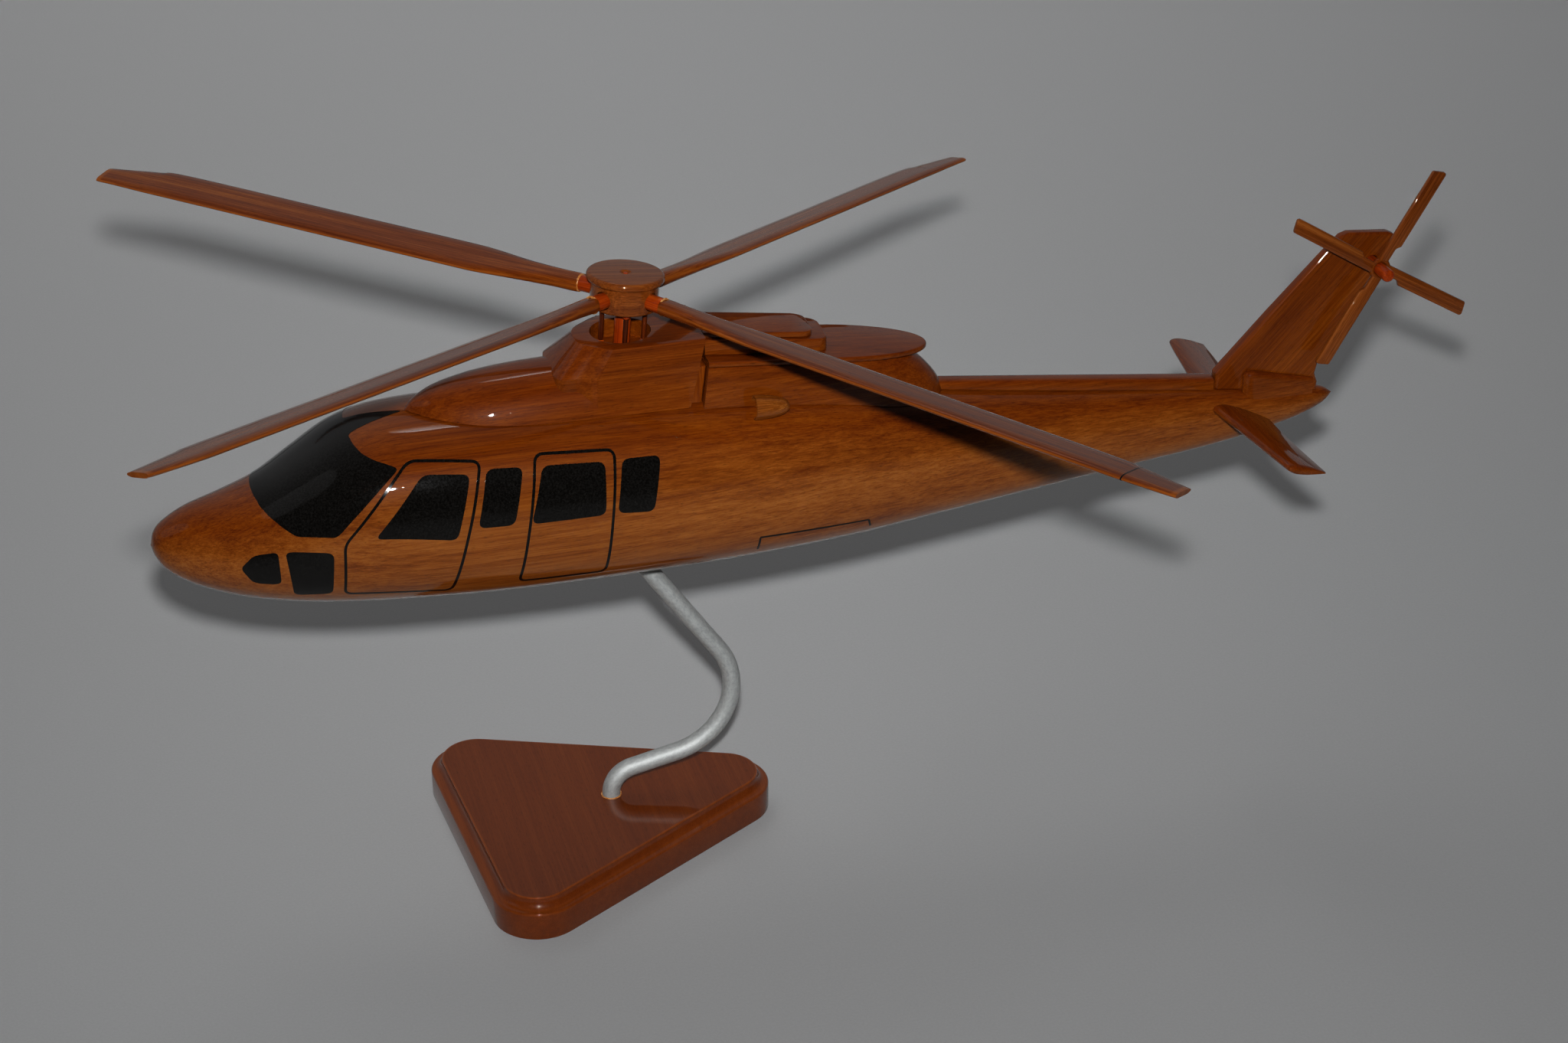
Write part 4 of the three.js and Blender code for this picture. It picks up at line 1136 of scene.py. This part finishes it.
def hub_cap(place):
    low = DRUM_HALF_HEIGHT + CAP_GAP
    top = low + CAP_HEIGHT
    rim_round = 1.5
    rim = []
    for angle in arc(-pi / 2, pi / 2, 12):
        middle = low + rim_round if angle <= 0 else top - rim_round
        radius = CAP_RADIUS - rim_round + rim_round * cos(angle)
        rim.append((radius, middle + rim_round * sin(angle)))
    item = turned([(0, low)] + rim + [(0, top)], 128)
    countersink = [(0, top - 3), (1.3, top - 3), (1.3, top - 1), (2.6, top + 0.1), (0, top + 0.1)]
    cut(item, turned(countersink))
    piece("rotor_cap", item, "blade_wood", ["hub_cap"], place=place, sharp=30, finish="hub_wood")
    pin = dowel(0.95, (0, 0, top - 2.7), (0, 0, top - 0.2), edge=0.3)
    piece("cap_plug", pin, "red_dowel", ["cap_pin"], place=place, grain=Z_AXIS)


def blade_section(share, blend):
    """Half thickness at a share of the chord: a rounded block at the root, a thin lens further out."""
    lens = smooth_curve(share, LENS_SECTION)
    block = 0.5 * max(1 - abs(2 * share - 1) ** 3.2, 0) ** (1 / 3.2)
    return lerp(block, lens, blend)


def smooth_curve(value, stops):
    """The height at value on a polyline with eased pieces."""
    for (a, low), (b, high) in zip(stops, stops[1:]):
        if value <= b:
            t = (value - a) / (b - a)
            return lerp(low, high, t * (2 - t) if high > low else t * t)
    return stops[-1][1]


def blade_form(side, tip_straight, tip_tapered, band=None):
    """A whole blade, or a thin band of paint round it between two stations."""
    root, full, tip = BLADE_ROOT_CHORD / 2, BLADE_HALF_CHORD, ROTOR_RADIUS - 0.2
    # x, straight edge and tapered edge from the middle, thickness, share of the lens section
    stations = [
        (BLADE_INNER, root - 0.5, root - 0.5, 5.2, 0),
        (BLADE_INNER + 0.7, root, root, 6, 0),
        (32, root + 0.6, root + 0.4, 5.4, 0.1),
        (48, 7, 6.4, 4.2, 0.6),
        (66, full - 0.3, full - 0.6, 3.3, 0.95),
        (82, full, full, 3, 1),
        (150, full, full, 3, 1),
        (tip * 0.86, full, full, 3, 1),
        (tip * 0.91, full, full * 0.72 + tip_tapered * 0.28, 2.7, 1),
        (tip * 0.965, (full + tip_straight) / 2, full * 0.28 + tip_tapered * 0.72, 2.4, 1),
        (tip - 0.5, tip_straight + 0.3, tip_tapered + 0.2, 2.1, 1),
        (tip, tip_straight - 0.3, tip_tapered - 0.3, 1.4, 1),
    ]
    rows = smooth_rows(stations, 6)
    grow = 0.0
    if band:
        rows, grow = [row_at(rows, x) for x in band], 0.05
    rings = []
    for x, straight, tapered, thickness, blend in rows:
        straight, tapered, thickness = straight + grow, tapered + grow, thickness + 2 * grow
        blend = min(max(blend, 0), 1)
        upper = [(share, blade_section(share, blend)) for share in CHORD_SHARES]
        lower = [(share, -height) for share, height in reversed(upper)]
        rings.append([
            (min(x, tip), side * ((straight + tapered) * share - straight), height * thickness)
            for share, height in upper + lower
        ])
    return loft(rings)


def ring_bead(radius, thickness, x=0):
    """A thin ring of glue round an X axis."""
    rings = []
    for y, z in circle(1, 48):
        tube = circle(thickness, 10)
        rings.append([(x + rise, (radius + out) * y, (radius + out) * z) for out, rise in tube])
    return loft(rings, closed=True)


def blade_edge_highlight(point):
    """A painted highlight that pales both edges and the tip."""
    return 0.8 if abs(point.z) < 0.5 and abs(point.y) > 3 or point.x > ROTOR_RADIUS - 2 else 0


def pitch_rod(heading, name, place):
    x, y = pitch_rod_spot(heading)
    rod = dowel(PITCH_ROD_RADIUS, (x, y, PITCH_ROD_FOOT), (x, y, PITCH_ROD_TOP), 24, 0.2)
    piece(f"control_rod_{name}", rod, "dark_rod", [f"pitch_rod_{name}"], place=place, grain=Z_AXIS)
    for end, height in BEAD_HEIGHTS.items():
        profile = []
        for angle in arc(0, pi, 12):
            profile.append((BEAD_RADIUS * sin(angle), height - BEAD_RADIUS * cos(angle)))
        profile[0], profile[-1] = (0, height - BEAD_RADIUS), (0, height + BEAD_RADIUS)
        bead = turned(profile, 24)
        bead.data.transform(Matrix.Translation((x, y, 0)))
        piece(f"control_bead_{end}_{name}", bead, "red_dowel", body="main_rotor", place=place)


def main_rotor():
    place = rotor_place()
    shaft = dowel(MAST_RADIUS, (0, 0, MAST_BOTTOM), (0, 0, -0.7))
    piece("rotor_shaft", shaft, "red_dowel", ["mast"], place=place, grain=Z_AXIS)
    hub_drum(place)
    hub_cap(place)
    for name, heading, droop, twist, side, tip_straight, tip_tapered in BLADES:
        arm = place @ arm_turn(heading, droop)
        sleeve = dowel(SLEEVE_RADIUS, (SLEEVE_INNER, 0, 0), (BLADE_INNER - 0.1, 0, 0))
        piece(f"sleeve_{name}", sleeve, "red_dowel", [f"blade_sleeve_{name}"], place=arm)
        turn = Matrix.Rotation(radians(twist), 4, "X")
        blade = blade_form(side, tip_straight, tip_tapered)
        piece(
            f"rotor_blade_{name}", blade, "blade_wood", [f"main_blade_{name}"], place=arm @ turn, sharp=50,
            edge_highlight=blade_edge_highlight,
        )
        glue = ring_bead(SLEEVE_RADIUS, 0.45, BLADE_INNER - 0.15)
        piece(f"root_glue_{name}", glue, "red_dowel", body="main_rotor", place=arm, finish="amber_glue")
        if name == "rear_left":
            line = blade_form(side, tip_straight, tip_tapered, BLADE_LINE)
            piece("blade_line", line, "black_paint", body="main_rotor", place=arm @ turn, sharp=50)
        pitch_rod(heading, name, place)


# ---- studio ----
def camera():
    data = bpy.data.cameras.new("camera")
    data.sensor_width = 36
    data.lens = CAMERA_LENS
    data.clip_start = 0.05
    item = new_object("camera", data)
    place = Matrix.Translation(CAMERA_PLACE)
    for degrees, axis in CAMERA_TURNS:
        place = place @ Matrix.Rotation(radians(degrees), 4, axis)
    item.matrix_world = place
    scene.camera = item


def add_light(name, kind, spot, target, power_watts, colour, **settings):
    """A lamp at spot that shines at target."""
    data = bpy.data.lights.new(name, kind)
    data.energy = power_watts
    data.color = colour
    for key, value in settings.items():
        setattr(data, key, value)
    item = new_object(name, data)
    item.location = spot
    item.rotation_euler = (Vector(target) - Vector(spot)).to_track_quat("-Z", "Y").to_euler()
    return item


def key_light():
    """A small lamp just above the camera whose light doesn't fade with distance."""
    data = add_light(
        "key", "AREA", (-0.215, -1.06, 0.815), (0.06, 0.1, 0.17), 2.5, COOL_WHITE, shape="DISK", size=0.04,
        spread=radians(90),
    ).data
    nodes = Nodes(data)
    nodes.shade({"Strength": nodes.add("LightFalloff", {"Strength": 1.0}, "Constant")}, "Emission")


def world():
    """A plain room that is paler behind the object than on the camera's side."""
    item = bpy.data.worlds.new("room")
    scene.world = item
    nodes = Nodes(item)
    direction = nodes.add("TexCoord", {}, "Generated")
    depth = nodes.span(nodes.add("SeparateXYZ", {"Vector": direction}, "Y"), 0, 1, -1)
    stops = [(position, (value, value, value * 1.02)) for position, value in ROOM_SHADES]
    nodes.shade({"Color": nodes.ramp(depth, *stops), "Strength": 1.0}, "Background")


def floor():
    mesh = bpy.data.meshes.new("floor")
    corners = [(x * FLOOR_HALF, y * FLOOR_HALF, 0) for x, y in ((-1, -1), (1, -1), (1, 1), (-1, 1))]
    mesh.from_pydata(corners, [], [(0, 1, 2, 3)])
    mesh.materials.append(floor_paper())
    new_object("floor", mesh)


camera()
base_plate()
support_rod()
fuselage()
paintwork()
rotor_tower()
engine_cowling()
intake_wall()
deck_plate()
deck_blocks()
spine_strip()
tail_fin()
for hand_side, hand_name in ((-1, "left"), (1, "right")):
    scoop(hand_side, hand_name)
    fin_block(hand_side, hand_name)
    stabiliser(hand_side, hand_name)
main_rotor()
tail_rotor()
bpy.data.objects.remove(roof_tool)

floor()
world()
key_light()
add_light("fill", "AREA", (-2.4, 0.3, 2.0), (0.0, 0.0, 0.15), 1.2, WHITE, shape="DISK", size=1.6)
back_fill = add_light(
    "back_fill", "AREA", (-0.4, 1.5, 2.2), (0.05, 0.0, 0.17), 12, WHITE, shape="DISK", size=1.8,
)
back_fill.visible_glossy = False
add_light(
    "floor_wash", "SPOT", (0.35, 2.3, 3.0), (0.45, 2.1, 0), 120, COOL_WHITE,
    spot_size=radians(75), spot_blend=1.0, shadow_soft_size=0.5,
)
scene.view_settings.view_transform = "Standard"
scene.view_settings.look = "Medium High Contrast"
